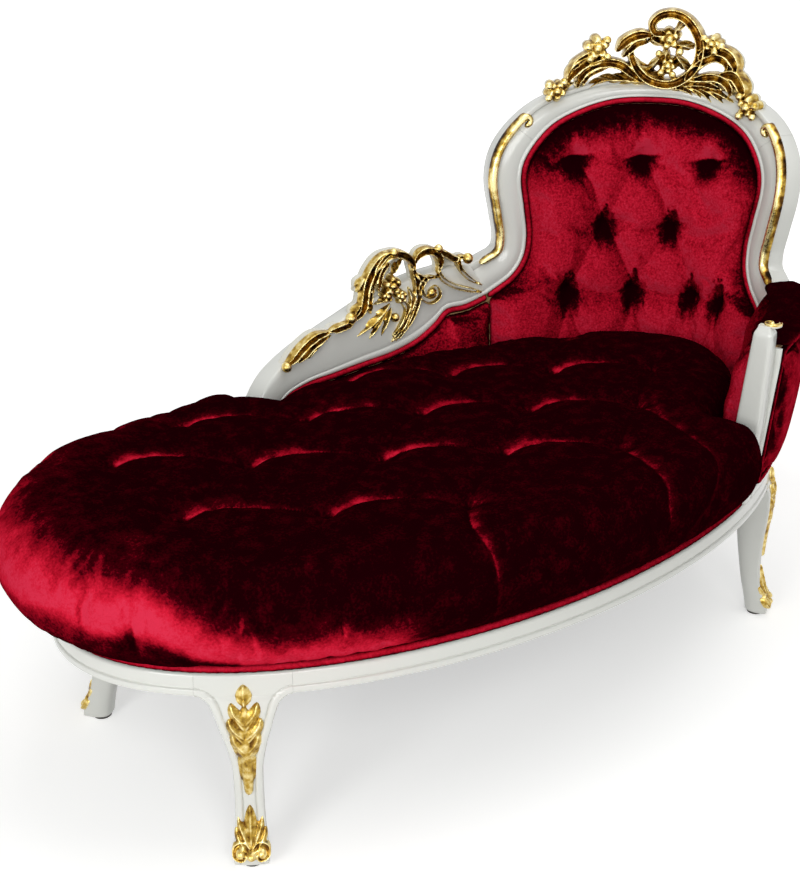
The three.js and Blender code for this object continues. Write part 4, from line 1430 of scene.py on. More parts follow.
@dataclass
class Ornament:
    """A pierced carving, gilt in front and white behind, laid out in shares of its size."""

    oval: Oval
    name: str
    node: str
    origin: tuple[float, float]
    size: tuple[float, float]
    gilt_from: float
    leaf_top: float
    ball_height: float
    bands: tuple
    leaves: tuple
    blossoms: tuple
    balls: tuple
    back: float = 22.0
    face: float = 56.0

    def spots(self, shares: Spots) -> list[tuple[float, float]]:
        """Turns shares of the carving into points of the developed plane."""
        (x, y), (wide, tall) = self.origin, self.size
        return [(x + u * wide, y + v * tall) for u, v in shares]

    def build(self) -> None:
        """Carves the ornament."""
        relief = Relief()
        for shares, width, *more in self.bands:
            top, rows, thin = more or (self.face, None, 0.35)
            relief.band(self.spots(shares), width, self.back, top, rows=rows, thin=thin)
        for shares, width, lobes in self.leaves:
            relief.leaf(self.spots(shares), width, self.back, self.leaf_top, lobes)
        for u, v, radius, turn in self.blossoms:
            spot = self.spots([(u, v)])[0]
            relief.blossom(*spot, radius, self.back, self.face + 4, turn)
        for u, v, radius in self.balls:
            relief.ball(*self.spots([(u, v)])[0], radius, self.ball_height)
        piece = relief.carved(self.name, self.oval.turned, leaf_from=self.gilt_from)
        Workshop.deliver(piece, GOLD_ON_WHITE, self.node)


@dataclass
class CrestCarving(Ornament):
    """The pierced cartouche on the crest rail: scrolls round a bouquet, flowers and leaves."""

    name: str = "crest_cartouche"
    node: str = "crest_carving"
    origin: tuple[float, float] = (206.0, 930.0)
    size: tuple[float, float] = (200.0, 155.0)
    gilt_from: float = 30.0
    leaf_top: float = 55.0
    ball_height: float = 52.0
    bands: tuple = (
        # points, width and, for the great ring, its height, cells and narrowest share
        ((
            (0.199, 0.52), (0.19, 0.45), (0.123, 0.29), (0.003, 0.17), (-0.179, 0.135),
            (-0.332, 0.235), (-0.419, 0.394), (-0.435, 0.581), (-0.39, 0.757), (-0.287, 0.91),
            (-0.169, 0.97), (-0.047, 0.94), (0.015, 0.84), (-0.018, 0.745), (-0.096, 0.744),
        ), 19, 58.0, 170, 0.7),
        (((-0.02, 0.711), (0.137, 0.714), (0.257, 0.637), (0.333, 0.508)), 21),
        (((0.03, 0.63), (0.13, 0.62), (0.21, 0.54), (0.277, 0.44)), 14),
        (((0.702, 0.08), (0.669, 0.222), (0.575, 0.324), (0.427, 0.384), (0.284, 0.351),
          (0.178, 0.246), (0.048, 0.138)), 20),
        (((0.649, 0.1), (0.61, 0.226), (0.508, 0.3), (0.4, 0.33)), 12),
        (((0.384, 0.451), (0.521, 0.427), (0.655, 0.375), (0.754, 0.27), (0.8, 0.15)), 23),
        (((0.43, 0.53), (0.594, 0.48), (0.71, 0.39), (0.78, 0.28)), 15),
        (((-0.3, 0.14), (-0.386, 0.306), (-0.484, 0.425), (-0.599, 0.475), (-0.685, 0.42),
          (-0.685, 0.322)), 17),
        (((-0.43, 0.42), (-0.462, 0.5), (-0.575, 0.565), (-0.696, 0.528), (-0.775, 0.417),
          (-0.79, 0.3)), 21),
        (((-0.3, 0.13), (-0.442, 0.214), (-0.58, 0.245), (-0.707, 0.195), (-0.765, 0.1),
          (-0.744, 0.032)), 17),
        (((-0.62, 0.28), (-0.77, 0.285), (-0.86, 0.182), (-0.91, 0.037)), 22),
        (((-0.316, 0.15), (-0.377, 0.292), (-0.45, 0.374)), 14),
        (((-0.25, 0.12), (-0.4, 0.16), (-0.56, 0.15), (-0.68, 0.1)), 12),
    )
    leaves: tuple = (
        # points of the rib, width and lobes
        (((-0.1, 0.12), (0.134, 0.155), (0.298, 0.175), (0.463, 0.16), (0.6, 0.06)), 24, 5),
        (((-0.02, 0.13), (-0.18, 0.09), (-0.32, 0.06), (-0.44, -0.02)), 20, 4),
        (((-0.279, 0.124), (-0.4, 0.07), (-0.51, -0.045)), 19, 0),
        (((-0.329, 0.119), (-0.473, 0.06), (-0.62, -0.102)), 20, 0),
        (((-0.43, 0.114), (-0.575, 0.05), (-0.72, -0.08)), 20, 0),
        (((-0.512, 0.095), (-0.66, 0.05), (-0.8, -0.05)), 18, 0),
        (((0.17, 0.47), (0.1, 0.33), (0.0, 0.24), (-0.12, 0.2)), 24, 4),
        (((-0.14, 0.58), (-0.12, 0.43), (-0.15, 0.24)), 28, 3),
        (((-0.2, 0.5), (-0.27, 0.4), (-0.33, 0.3)), 20, 2),
        (((-0.17, 0.62), (-0.26, 0.6), (-0.37, 0.58)), 20, 2),
        (((-0.12, 0.6), (-0.05, 0.62), (0.03, 0.68)), 18, 2),
        (((-0.16, 0.72), (-0.22, 0.8), (-0.26, 0.88)), 16, 2),
        (((-0.1, 0.5), (-0.04, 0.4), (0.02, 0.3)), 16, 2),
        (((0.72, 0.16), (0.8, 0.1), (0.86, 0.0)), 18, 2),
        (((-0.4, 0.52), (-0.47, 0.62), (-0.52, 0.72)), 18, 2),
    )
    blossoms: tuple = (
        # place, radius and turn
        (0.513, 0.56, 27, 0.2), (0.905, 0.06, 23, 0.9), (-0.953, -0.06, 25, 0.4),
        (-0.538, 0.64, 19, 0.5), (-0.149, 0.67, 24, 0.1), (-0.152, 0.36, 19, 0.8),
    )
    balls: tuple = (
        (0.61, 0.58, 8), (0.43, 0.66, 8), (0.59, 0.44, 8), (0.42, 0.46, 7), (0.99, 0.13, 8),
        (0.99, -0.02, 7), (0.84, 0.17, 8), (-1.05, -0.03, 8), (-0.89, -0.17, 8),
        (-1.04, -0.16, 7), (-0.87, 0.06, 8), (-0.63, 0.62, 7), (-0.46, 0.7, 7),
        (-0.57, 0.55, 7), (-0.25, 0.53, 8), (-0.06, 0.5, 7), (-0.2, 0.25, 7), (-0.09, 0.28, 7),
    )


@dataclass
class WingCarving(Ornament):
    """The carved plume, flower, scrolls and leaf along the upper edge of the wing."""

    name: str = "wing_plume"
    node: str = "wing_carving"
    origin: tuple[float, float] = (560.0, 460.0)
    size: tuple[float, float] = (530.0, 200.0)
    gilt_from: float = 38.0
    leaf_top: float = 56.0
    ball_height: float = 51.0
    bands: tuple = (
        (((0.442, 0.647), (0.431, 0.79), (0.405, 0.922), (0.364, 0.995), (0.305, 0.98),
          (0.265, 0.892), (0.256, 0.771)), 17),
        (((0.412, 0.66), (0.412, 0.765), (0.392, 0.879), (0.355, 0.92)), 12),
        (((0.275, 0.9), (0.25, 0.695), (0.252, 0.531), (0.288, 0.343), (0.351, 0.14)), 17),
        (((0.285, 0.66), (0.272, 0.51), (0.305, 0.33), (0.37, 0.14)), 15),
        (((0.334, 0.565), (0.298, 0.458), (0.318, 0.315), (0.365, 0.2)), 14),
        (((0.33, 1.02), (0.38, 1.0), (0.432, 0.899), (0.465, 0.766), (0.478, 0.634),
          (0.497, 0.496), (0.545, 0.421)), 20),
        (((0.443, 0.687), (0.462, 0.587), (0.453, 0.46)), 14),
        (((0.256, 0.86), (0.237, 0.95), (0.198, 0.98), (0.161, 0.94), (0.148, 0.849),
          (0.158, 0.733)), 17),
        (((0.17, 0.965), (0.125, 0.925), (0.092, 0.87), (0.06, 0.86)), 14),
        (((0.153, 0.704), (0.204, 0.714), (0.235, 0.652), (0.23, 0.549), (0.196, 0.485),
          (0.162, 0.533), (0.17, 0.61), (0.196, 0.6)), 15),
        (((0.26, 0.79), (0.228, 0.72), (0.2, 0.699)), 13),
        (((0.157, 0.824), (0.141, 0.69), (0.095, 0.6), (0.025, 0.535), (-0.03, 0.49)), 11),
        (((0.04, 0.885), (0.068, 0.86), (0.066, 0.775), (0.028, 0.652), (-0.03, 0.56)), 10),
        (((0.525, 0.43), (0.577, 0.406), (0.64, 0.385)), 15),
        (((0.63, 0.385), (0.7, 0.375), (0.763, 0.306), (0.806, 0.228), (0.846, 0.165)), 17),
        (((0.63, 0.35), (0.7, 0.32), (0.75, 0.248), (0.79, 0.171)), 15),
        (((0.1, 0.86), (0.105, 0.76), (0.085, 0.67), (0.03, 0.59), (-0.02, 0.53)), 40, 37.0, 60,
         0.6),
    )
    leaves: tuple = (
        (((0.36, 0.54), (0.41, 0.44), (0.465, 0.342), (0.535, 0.25)), 40, 3),
        (((0.36, 0.5), (0.385, 0.369), (0.418, 0.2)), 32, 2),
        (((0.39, 0.45), (0.435, 0.32), (0.472, 0.2)), 30, 2),
        (((0.453, 0.78), (0.468, 0.625), (0.452, 0.44)), 17, 0),
        (((0.655, 0.333), (0.709, 0.258), (0.745, 0.16)), 18, 2),
        (((0.47, 0.84), (0.492, 0.78), (0.5, 0.69)), 18, 2),
        (((0.49, 0.6), (0.52, 0.53), (0.52, 0.45)), 18, 2),
        (((0.35, 0.8), (0.335, 0.86), (0.3, 0.93)), 18, 2),
        (((0.36, 0.6), (0.4, 0.57), (0.44, 0.54)), 16, 2),
    )
    blossoms: tuple = ((0.355, 0.7, 24, 0.3), (0.382, 0.61, 16, 0.3), (0.321, 0.58, 17, 0.3))
    balls: tuple = (
        (0.034, 0.857, 11), (0.193, 0.57, 9), (0.546, 0.475, 11), (0.846, 0.176, 10),
        (0.354, 0.39, 9), (0.155, 0.99, 9), (0.345, 1.02, 9),
    )


@dataclass
class LegLeaves:
    """Gilt leaves on the knee and the toe of each leg."""

    oval: Oval
    legs: Legs
    bottom: float = 122.0
    rise: float = 9.0

    def knee(self) -> Relief:
        """Lays out the knee's bud, paired leaves and ribbed stem.

        Returns:
            The carving.
        """
        relief = Relief()
        relief.leaf([(0, 278), (0, 290), (0, 300), (0, 311)], 25, -3, self.rise, 0, rows=40)
        for level, reach in ((268, 19), (243, 23), (217, 19)):
            for side in (-1, 1):
                for lift, start, stretch in ((0, 0, 1.0), (-9, 1, 0.8)):
                    points = [
                        (side * start, level - 20 + lift),
                        (side * reach * 0.42 * stretch, level - 9 + lift),
                        (side * reach * 0.8 * stretch, level + 2 + lift),
                        (side * reach * stretch, level + 15 + lift),
                    ]
                    relief.leaf(points, 21, -3, self.rise - (lift < 0), 0, rows=36)
        relief.band(
            [(0, 282), (0, 250), (0, 215)], 15, -3, self.rise * 0.5, Section.ROUND, rows=30,
        )
        relief.leaf([(0, 140), (0, 165), (0, 195), (0, 222)], 30, -3, self.rise * 0.85, 0, rows=40)
        relief.band(
            [(0, 226), (0, 205), (0, 165), (0, self.bottom)],
            18, -3, self.rise * 0.8, Section.ROUND, rows=60, thin=0.72,
        )
        return relief

    def toe(self) -> Relief:
        """Lays out the toe's pointed leaf, side leaves and two scrolls.

        Returns:
            The carving.
        """
        relief = Relief()
        relief.leaf([(0, 34), (0, 58), (0, 80), (0, 102)], 22, -3, self.rise, 0, rows=40)
        for side in (-1, 1):
            relief.leaf(
                [(side * 2, 32), (side * 9, 52), (side * 15, 68), (side * 18, 84)],
                15, -3, self.rise, 0, rows=36,
            )
            relief.leaf(
                [(side * 4, 28), (side * 13, 42), (side * 19, 53), (side * 22, 66)],
                14, -3, self.rise * 0.9, 0, rows=36,
            )
            relief.band(
                [(side * 3, 34), (side * 12, 42), (side * 21, 38), (side * 21, 27),
                 (side * 13, 24), (side * 11, 31)],
                12, -3, self.rise, rows=60, thin=0.75,
            )
            relief.ball(side * 16, 31, 7, self.rise * 0.6)
        relief.ball(0, 27, 7, self.rise * 0.5)
        return relief

    def build(self) -> None:
        """Carves the leaves of all four legs."""
        for name, run in self.legs.rail.legs().items():
            for kind, relief in (("knee", self.knee()), ("toe", self.toe())):

                def place(flat: Points, run: float = run) -> Points:
                    """Lays the carving on the leg's face."""
                    face = self.legs.outer(flat[:, 1])
                    half = np.maximum(self.legs.half(flat[:, 1]), 1)
                    crown = -2.5 * (flat[:, 0] / half) ** 2
                    return self.oval.place(run + flat[:, 0], flat[:, 1], face + crown + flat[:, 2])

                piece = relief.carved(f"{kind}_foliage_{name}", place, 1.2)
                stands_for = [f"knee_leaf_{name}"] if kind == "knee" else []
                Workshop.deliver(piece, GOLD, *stands_for)


# Upholstery


def tube(name: str, path: Points, outward: Points, radius: float, ring: int = 14) -> Piece:
    """Makes a round piping along a path.

    Args:
        name: The piece's name.
        path: Points of the frame, in metres.
        outward: Points a little outwards of the path's own.
        radius: The piping's radius in millimetres.
        ring: Faces round it.

    Returns:
        The piping.
    """
    along = np.gradient(path, axis=0)
    along /= np.linalg.norm(along, axis=1)[:, None]
    across = np.cross(along, outward - path)
    across /= np.linalg.norm(across, axis=1)[:, None]
    up = np.cross(across, along)
    rows = len(path) - 1

    def shape(i: Ints, j: Ints) -> Points:
        """Gives the cord's rings, a little puckered."""
        angle = i / ring * 2 * math.pi
        puckers = 1 + 0.035 * np.sin(j * 1.9) + 0.025 * np.sin(j * 0.83 + 2 * angle)
        end = np.sqrt(np.clip(np.minimum(j, rows - j) / 2, 0.1, 1))
        reach = (radius * MM * puckers * end)[:, None]
        return (
            path[j]
            + across[j] * reach * np.cos(angle)[:, None]
            + up[j] * reach * np.sin(angle)[:, None]
        )

    return swept(name, ring, rows, shape, sharp=80.0)


CLOTH_STEPS = 20
CLOTH_SETTINGS = {
    "quality": 4,
    "mass": 0.35,
    "tension_stiffness": 18.0,
    "compression_stiffness": 12.0,
    "bending_stiffness": 0.4,
    "use_pressure": True,
    "shrink_min": -0.03,
    "pin_stiffness": 1.0,
}


def inflate(piece: Piece, hold: Array, cap: float, pressure: float = 4.0) -> None:
    """Lets the padding push the cover out, by a short cloth simulation that is then applied.

    Args:
        piece: The padded piece.
        hold: For each point, 1 where the cover is held and 0 where it is free.
        cap: The furthest that a point may move, in metres.
        pressure: The padding's pressure.
    """
    scene = bpy.context.scene
    group = piece.vertex_groups.new(name="held")
    for level in np.linspace(0.1, 1.0, 10):
        chosen = np.nonzero(np.abs(hold - level) <= 0.05)[0]
        group.add([int(k) for k in chosen], float(level), "REPLACE")
    rest = coordinates(piece)
    cloth = piece.modifiers.new("padding", "CLOTH")
    for key, value in CLOTH_SETTINGS.items():
        setattr(cloth.settings, key, value)
    cloth.settings.uniform_pressure_force = pressure
    cloth.settings.vertex_group_mass = group.name
    cloth.settings.effector_weights.gravity = 0.0
    cloth.collision_settings.use_collision = False
    for step in range(1, CLOTH_STEPS + 1):
        scene.frame_set(step)
    evaluated = piece.evaluated_get(bpy.context.evaluated_depsgraph_get())
    moved = coordinates(evaluated) - rest
    piece.modifiers.clear()
    piece.vertex_groups.clear()
    scene.frame_set(1)
    far = np.linalg.norm(moved, axis=1)[:, None]
    set_coordinates(piece, rest + moved * np.minimum(1, cap / np.maximum(far, 1e-9)))


def subdivided(piece: Piece) -> None:
    """Adds one level of subdivision to a piece and applies it.

    Args:
        piece: The piece.
    """
    fine = piece.modifiers.new("fine", "SUBSURF")
    fine.levels = 1
    fine.render_levels = 1
    applied(piece)
    piece.data.shade_smooth()


def wander(points: Points, size: float, seed: int) -> Array:
    """Returns a smooth random value from about -1 to 1 for points of the plane.

    Args:
        points: Points of the plane.
        size: Size of its features.
        seed: Chooses the pattern.

    Returns:
        One value for each point.
    """
    random = np.random.default_rng(seed)
    value = np.zeros(len(points))
    for _ in range(6):
        angle, phase = random.uniform(0, 2 * math.pi, 2)
        pace = 2 * math.pi / (size * random.uniform(0.7, 1.6))
        way = points @ np.array([math.cos(angle), math.sin(angle)])
        value += np.sin(way * pace + phase)
    return value / 3.2


@dataclass(frozen=True)
class Pleat:
    """One pleat in the cover's plane, by its points, its depth's weight and its painted highlight.
    """

    stops: Points
    weight: float
    light: float

    @staticmethod
    def bowed(
        start: Sequence[float], end: Sequence[float], bow: float, weight: float, light: float = 0.0
    ) -> Pleat:
        """Returns a pleat from one button to another, bowed to the left of its way.

        Args:
            start: The first button.
            end: The second button.
            bow: How far its middle bows out.
            weight: Its share of the pleats' depth.
            light: Strength of the painted highlight beside it.

        Returns:
            The pleat.
        """
        share = np.linspace(0, 1, 7)
        way = np.array(end, float) - np.array(start, float)
        side = np.array([-way[1], way[0]]) / np.linalg.norm(way)
        bulge = bow * np.sin(math.pi * share**0.85)
        stops = np.array(start, float) + share[:, None] * way + bulge[:, None] * side
        return Pleat(stops, weight, light)

    @staticmethod
    def through(points: Spots, weight: float, light: float) -> Pleat:
        """Returns a pleat that runs smoothly through points."""
        return Pleat(Line(points).at(np.linspace(0, 1, 13)), weight, light)


@dataclass
class Tufting:
    """Buttons pulled into a cover, with pleats between them."""

    tufts: list[tuple[float, float]]
    pleats: list[Pleat]
    pleat_depth: float
    pleat_width: float
    tuft_depth: float = 0.0
    tuft_width: float = 20.0
    seed: int = SEED

    def reach(self, points: Points) -> Array:
        """Returns how far points of the plane are from the nearest button.

        Args:
            points: Points of the cover's plane.

        Returns:
            The distances.
        """
        reach = np.full(len(points), FAR)
        for x, y in self.tufts:
            reach = np.minimum(reach, np.hypot(points[:, 0] - x, points[:, 1] - y))
        return reach

    def dent(self, points: Points) -> Array:
        """Returns how deep the cover is pulled in at points of its plane.

        Args:
            points: Points of the cover's plane.

        Returns:
            The depths.
        """
        warped = points + 3.0 * np.column_stack(
            [wander(points, 90, self.seed + 1), wander(points, 90, self.seed + 2)]
        )
        pulled = np.zeros(len(points))
        for pleat in self.pleats:
            far, _, _ = nearest_on(warped, pleat.stops)
            near = np.clip(1 - far / self.pleat_width, 0, 1)
            fold = 1 - np.sqrt(np.clip(1 - near**2, 0, 1))
            pulled = np.maximum(pulled, pleat.weight * mix(fold, near**3, 0.35))
        pulled *= self.pleat_depth * (1 + 0.18 * wander(points, 160, self.seed + 3))
        if not self.tufts:
            return pulled
        button = np.exp(-((self.reach(points) / self.tuft_width) ** 1.4))
        return pulled + (self.tuft_depth - 0.5 * pulled) * button

    def held(self, points: Points) -> Array:
        """Returns 1 at the buttons, less along the pleats and 0 on the open cover.

        Args:
            points: Points of the cover's plane.

        Returns:
            One value for each point.
        """
        far = np.full(len(points), FAR)
        for pleat in self.pleats:
            far = np.minimum(far, nearest_on(points, pleat.stops)[0])
        return np.maximum(
            1 - smoothstep(self.reach(points), 8, 18), 0.75 * (1 - smoothstep(far, 3, 14))
        )

    def glow(self, points: Points) -> Array:
        """Returns painted highlights beside each pleat, where the cover leans out of the fold, and
        round each button.

        Args:
            points: Points of the cover's plane.

        Returns:
            One value for each point.
        """
        glow = np.zeros(len(points))
        patches = 0.86 + 0.22 * wander(points, 34, self.seed + 50)
        for pleat in self.pleats:
            if pleat.light == 0:
                continue
            far, side, share = nearest_on(points, pleat.stops)
            width = mix(10.0, 3.5, smoothstep(share, 0.1, 0.8)) * (1 + 0.25 * wander(points, 60, 7))
            beyond = np.where(side > 0, np.exp(-far / width), np.exp(-((far / 2.5) ** 2)))
            along = smoothstep(share, 0.0, 0.06) * (1 - 0.65 * smoothstep(share, 0.3, 0.95))
            glow = np.maximum(glow, pleat.light * beyond * along * patches)
        # Painted highlights in rays round each button.
        for number, (x, y) in enumerate(self.tufts):
            across, up = points[:, 0] - x, points[:, 1] - y
            far = np.hypot(across, up)
            angle = np.arctan2(up, across)
            rays = 0.5 + 0.5 * np.cos(9 * angle + 2.3 * number + 0.8 * np.sin(3 * angle))
            fan = np.exp(-far / 11.0) * mix(0.3, 1, rays**2) * smoothstep(far, 1, 7)
            glow = np.maximum(glow, 0.75 * fan)
        return glow


def nearest_on(points: Points, stops: Points) -> tuple[Array, Array, Array]:
    """Finds where points of the plane lie beside a bent line.

    Args:
        points: Points of the plane.
        stops: The line's points.

    Returns:
        The distance to the line, above zero on its left, and how far along it that is.
    """
    best = np.full(len(points), FAR)
    side = np.zeros(len(points))
    along_share = np.zeros(len(points))
    spans = len(stops) - 1
    for number in range(spans):
        start = stops[number]
        way = stops[number + 1] - start
        offset = points - start
        share = np.clip((offset @ way) / (way @ way), 0, 1)
        rest = offset - share[:, None] * way
        far = np.hypot(rest[:, 0], rest[:, 1])
        closer = far < best
        best = np.where(closer, far, best)
        side = np.where(closer, way[0] * offset[:, 1] - way[1] * offset[:, 0], side)
        along_share = np.where(closer, (number + share) / spans, along_share)
    return best, side, along_share


@dataclass
class SeatCushion:
    """The long oval cushion, deep-buttoned on top and pleated round its free side."""

    oval: Oval
    wing: WingFrame
    bulge: float = 40.0
    foot_bulge: float = 30.0
    covered: float = 84.0
    blend: float = 75.0
    arm_blend: float = 36.0
    edge: float = 80.0
    tuck: float = 13.0
    rise: float = 167.0
    columns: tuple[float, ...] = (-562, -376, -192, -24, 133, 290, 445)
    row: float = 108.0
    row_centre: float = 54.0
    free_end: float = -516.0
    foot_lift: float = 26.0
    foot_span: tuple = (1330, 1600, 1860, 2120)
    foot_reach: float = 560.0
    foot_shift: float = 70.0
    wing_dip: float = 14.0
    wing_span: tuple = (1020, 1120, 1200, 1400)
    wing_slim: float = 22.0
    band_span: tuple = (-750, -250, 500, 590)
    voxel: float = 7.5
    section: tuple = (
        # inwards along the rounded edge, and up the rise
        (1.25, 0), (1, 0.012), (0.9, 0.03), (0.87, 0.066), (0.7, 0.095), (0.5, 0.15),
        (0.32, 0.225), (0.17, 0.32), (0.07, 0.43), (0.015, 0.53), (0, 0.6), (0.015, 0.68),
        (0.06, 0.755), (0.13, 0.825), (0.23, 0.885), (0.36, 0.93), (0.52, 0.965), (0.72, 0.985),
        (1, 0.995),
    )
    outer: tuple = (
        # pleats beyond the buttons, laid out with the side unrolled, their weight and painted
        # highlight
        (((-192, -270), (-245, -345), (-257, -424), (-264, -499)), 0.5, 0.6),
        (((133, -270), (105, -379), (85, -446), (88, -499), (70, -521)), 0.5, 0.45),
        (((290, -162), (262, -270), (239, -353), (220, -423), (195, -471), (160, -504)), 0.4, 0.4),
        (((-376, -162), (-400, -190), (-428, -222)), 0.3, 0.35),
        (((-562, -54), (-640, -90), (-700, -140)), 0.3, 0.0),
        (((-562, 162), (-640, 200), (-700, 240)), 0.4, 0.0),
        (((-376, 270), (-400, 350), (-430, 420)), 0.4, 0.2),
    )
    band: tuple = (
        # way from the foot's tip along the front, and height of the painted highlight band's middle
        (-700, 138), (0, 138), (100, 134), (190, 124), (250, 96), (310, 66), (380, 46), (480, 40),
        (620, 38),
    )

    def depth(self, run: Array) -> Array:
        """Returns how far the cushion's side stands out from the rail's face.

        Args:
            run: Runs along the rail.

        Returns:
            Depths outwards.
        """
        end = self.wing.start + self.wing.length + self.wing.gap + 3
        whole = 2 * self.oval.half_round
        last = whole + self.free_end
        run = np.mod(run, whole)
        out = smoothstep(run, end, end + self.blend)
        back = 1 - smoothstep(run, last - self.arm_blend, last)
        foot = np.clip(1 - np.abs(run - whole / 2 + self.foot_shift) / self.foot_reach, 0, 1)
        bulge = self.bulge + self.foot_bulge * smoothstep(foot, 0, 1)
        bulge = bulge - self.wing_slim * (1 - smoothstep(run, end + 60, end + 420))
        return mix(-self.covered, bulge, np.minimum(out, back))

    def lift(self, run: Array) -> Array:
        """Returns how much higher the edge stands: fuller at the foot's rear, lower by the wing.

        Args:
            run: Runs along the rail.

        Returns:
            Heights above the common one.
        """
        run = np.mod(run, 2 * self.oval.half_round)
        raised = self.foot_lift * window(run, *self.foot_span)
        return raised - self.wing_dip * window(run, *self.wing_span)

    def edge_width(self, depth: Array) -> Array:
        """Returns how wide the rounded edge is, so that a free side tucks in above its piping."""
        free = smoothstep(depth, -self.covered, self.bulge)
        return mix(self.edge, (np.maximum(depth, 0) + self.tuck) / 0.87, free)

    def tufts(self) -> list[tuple[float, float]]:
        """Returns the buttons of the top, measured from the oval's middle."""
        return [
            (x, self.row_centre + row * self.row)
            for column, x in enumerate(self.columns)
            for row in range(-3, 4)
            if (column + row) % 2 and self.reach(x, self.row_centre + row * self.row) < 0.9
        ]

    def reach(self, x: Values, y: Values) -> Values:
        """Returns how far out points of the floor plan lie, as shares of the oval."""
        return np.hypot(x / self.oval.half_length, y / self.oval.half_width)

    def pleats(self) -> list[Pleat]:
        """Returns the pleats between the buttons, and those from the outer ones to the edge.

        Returns:
            The pleats.
        """
        tufts = self.tufts()
        found = []
        for ax, ay in tufts:
            for bx, by in tufts:
                if 0 < bx - ax < 200 and abs(abs(by - ay) - self.row) < 1:
                    across = by < ay
                    # Bow, weight and painted highlight of a pleat across the rows, or along them.
                    bow, weight, light = (25.0, 1.0, 0.95) if across else (4.0, 0.3, 0.0)
                    found.append(Pleat.bowed((ax, ay), (bx, by), bow, weight, light))
        found += [Pleat.through(points, weight, light) for points, weight, light in self.outer]
        return found

    def build(self) -> None:
        """Makes the cushion."""
        columns = 180
        section = np.array(self.section)
        inner = np.linspace(0.88, 0.0, 9)
        bottom = self.oval.rail_top + CLEAR
        whole = 2 * self.oval.half_round
        spine = 1 - self.oval.half_width / self.oval.half_length
        below = len(inner)
        rows = below + len(section) + len(inner) - 1

        def shape(i: Ints, j: Ints) -> Points:
            """Gives the cushion's rings, from below round its edge to the top."""
            run = i / columns * whole
            on_side = np.clip(j - below, 0, len(section) - 1)
            inwards, rise = section[on_side, 0], section[on_side, 1]
            depth = self.depth(run)
            rim = self.oval.place(run, 0.0, depth - inwards * self.edge_width(depth))
            x = rim[:, 0] - self.oval.centre.x
            y = rim[:, 1] - self.oval.centre.y
            under = j < below
            over = j >= below + len(section)
            share = np.where(under, inner[::-1][np.clip(j, 0, below - 1)], 1.0)
            share = np.where(
                over, inner[np.clip(j - below - len(section), 0, len(inner) - 1)], share
            )
            height = np.where(under, 0.0, np.where(over, 1.0, rise))
            tall = self.rise + self.lift(run) * share**2
            return np.column_stack(
                [
                    x * mix(spine, 1, share) + self.oval.centre.x,
                    y * share + self.oval.centre.y,
                    (bottom + height * tall) * MM,
                ]
            )

        piece = swept("seat_cushion_tufted", columns, rows, shape, ends=False)
        remeshed(piece, self.voxel * MM)
        tufting = Tufting(
            self.tufts(), self.pleats(), pleat_depth=7.5, pleat_width=58.0, tuft_depth=17.0,
            tuft_width=22.0,
        )
        self.pull(piece, tufting)
        low = coordinates(piece)[:, 2] < (bottom + 18) * MM
        hold = np.maximum(tufting.held(self.cover(piece)), low * 1.0)
        inflate(piece, hold, 0.006, 3.0)
        subdivided(piece)
        self.pull(piece, Tufting([], self.pleats(), pleat_depth=3.0, pleat_width=9.0))
        self.side_pleats(piece)
        self.keep_clear(piece)
        add_hollows(piece, 10, 0.006)
        # Painted highlights beside the top's pleats and buttons, and the painted band round the
        # foot's side.
        glow = tufting.glow(self.cover(piece)) * smoothstep(coordinates(piece)[:, 2], 0.345, 0.375)
        store(piece, "painted_light_and_shade", np.maximum(glow, self.sheen(piece)))
        Workshop.deliver(piece, SEAT_VELVET, "seat_cushion", fill=0.85)

    def sheen(self, piece: Piece) -> Array:
        """Returns the painted highlight: a bright band painted round the foot's side.

        Args:
            piece: The piece.

        Returns:
            One value for each point.
        """
        plan = self.plan(piece)
        run = self.oval.run_of(plan[:, 0], plan[:, 1])
        way = np.where(run < 0, self.oval.half_round + run, run - self.oval.half_round)
        height = coordinates(piece)[:, 2] / MM - self.oval.rail_top
        ways, heights = np.array(self.band, float).T
        middle = np.interp(way, ways, heights) + 8 * wander(plan, 130, SEED + 8)
        off = height - middle
        above = mix(50.0, 36.0, smoothstep(way, 0, 200))
        across = np.where(off > 0, np.exp(-((off / above) ** 2)), np.exp(-((off / 34) ** 4)))
        fade = window(way, *self.band_span)
        on_side = smoothstep(self.reach(plan[:, 0], plan[:, 1]), 0.86, 0.98)
        return mix(0.44, 0.84, smoothstep(way, 0, 230)) * across * fade * on_side

    def cover(self, piece: Piece) -> Points:
        """Returns a piece's points on the cover, with its side unrolled into the floor plan.

        Args:
            piece: The piece.

        Returns:
            The unrolled points.
        """
        plan = self.plan(piece)
        height = coordinates(piece)[:, 2] / MM - self.oval.rail_top
        size = np.array([self.oval.half_length, self.oval.half_width])
        outward = plan / size**2
        outward /= np.linalg.norm(outward, axis=1)[:, None].clip(1e-9)
        near_edge = smoothstep(np.linalg.norm(plan / size, axis=1), 0.8, 0.9)
        return plan + outward * (np.clip(150 - height, 0, None) * near_edge)[:, None]

    def plan(self, piece: Piece) -> Points:
        """Returns a piece's points in millimetres of the floor plan from the oval's middle."""
        points = coordinates(piece)
        return np.column_stack(
            [points[:, 0] - self.oval.centre.x, points[:, 1] - self.oval.centre.y]
        ) / MM

    def pull(self, piece: Piece, tufting: Tufting) -> None:
        """Pulls the cover in at the buttons and pleats.

        Args:
            piece: The piece.
            tufting: Its buttons and pleats.
        """
        points = coordinates(piece)
        facing = normals(piece)
        dent = tufting.dent(self.cover(piece))
        height = points[:, 2] / MM - self.oval.rail_top
        fade = smoothstep(height, 14, 80)
        points -= facing * (dent * fade * MM)[:, None]
        set_coordinates(piece, points)

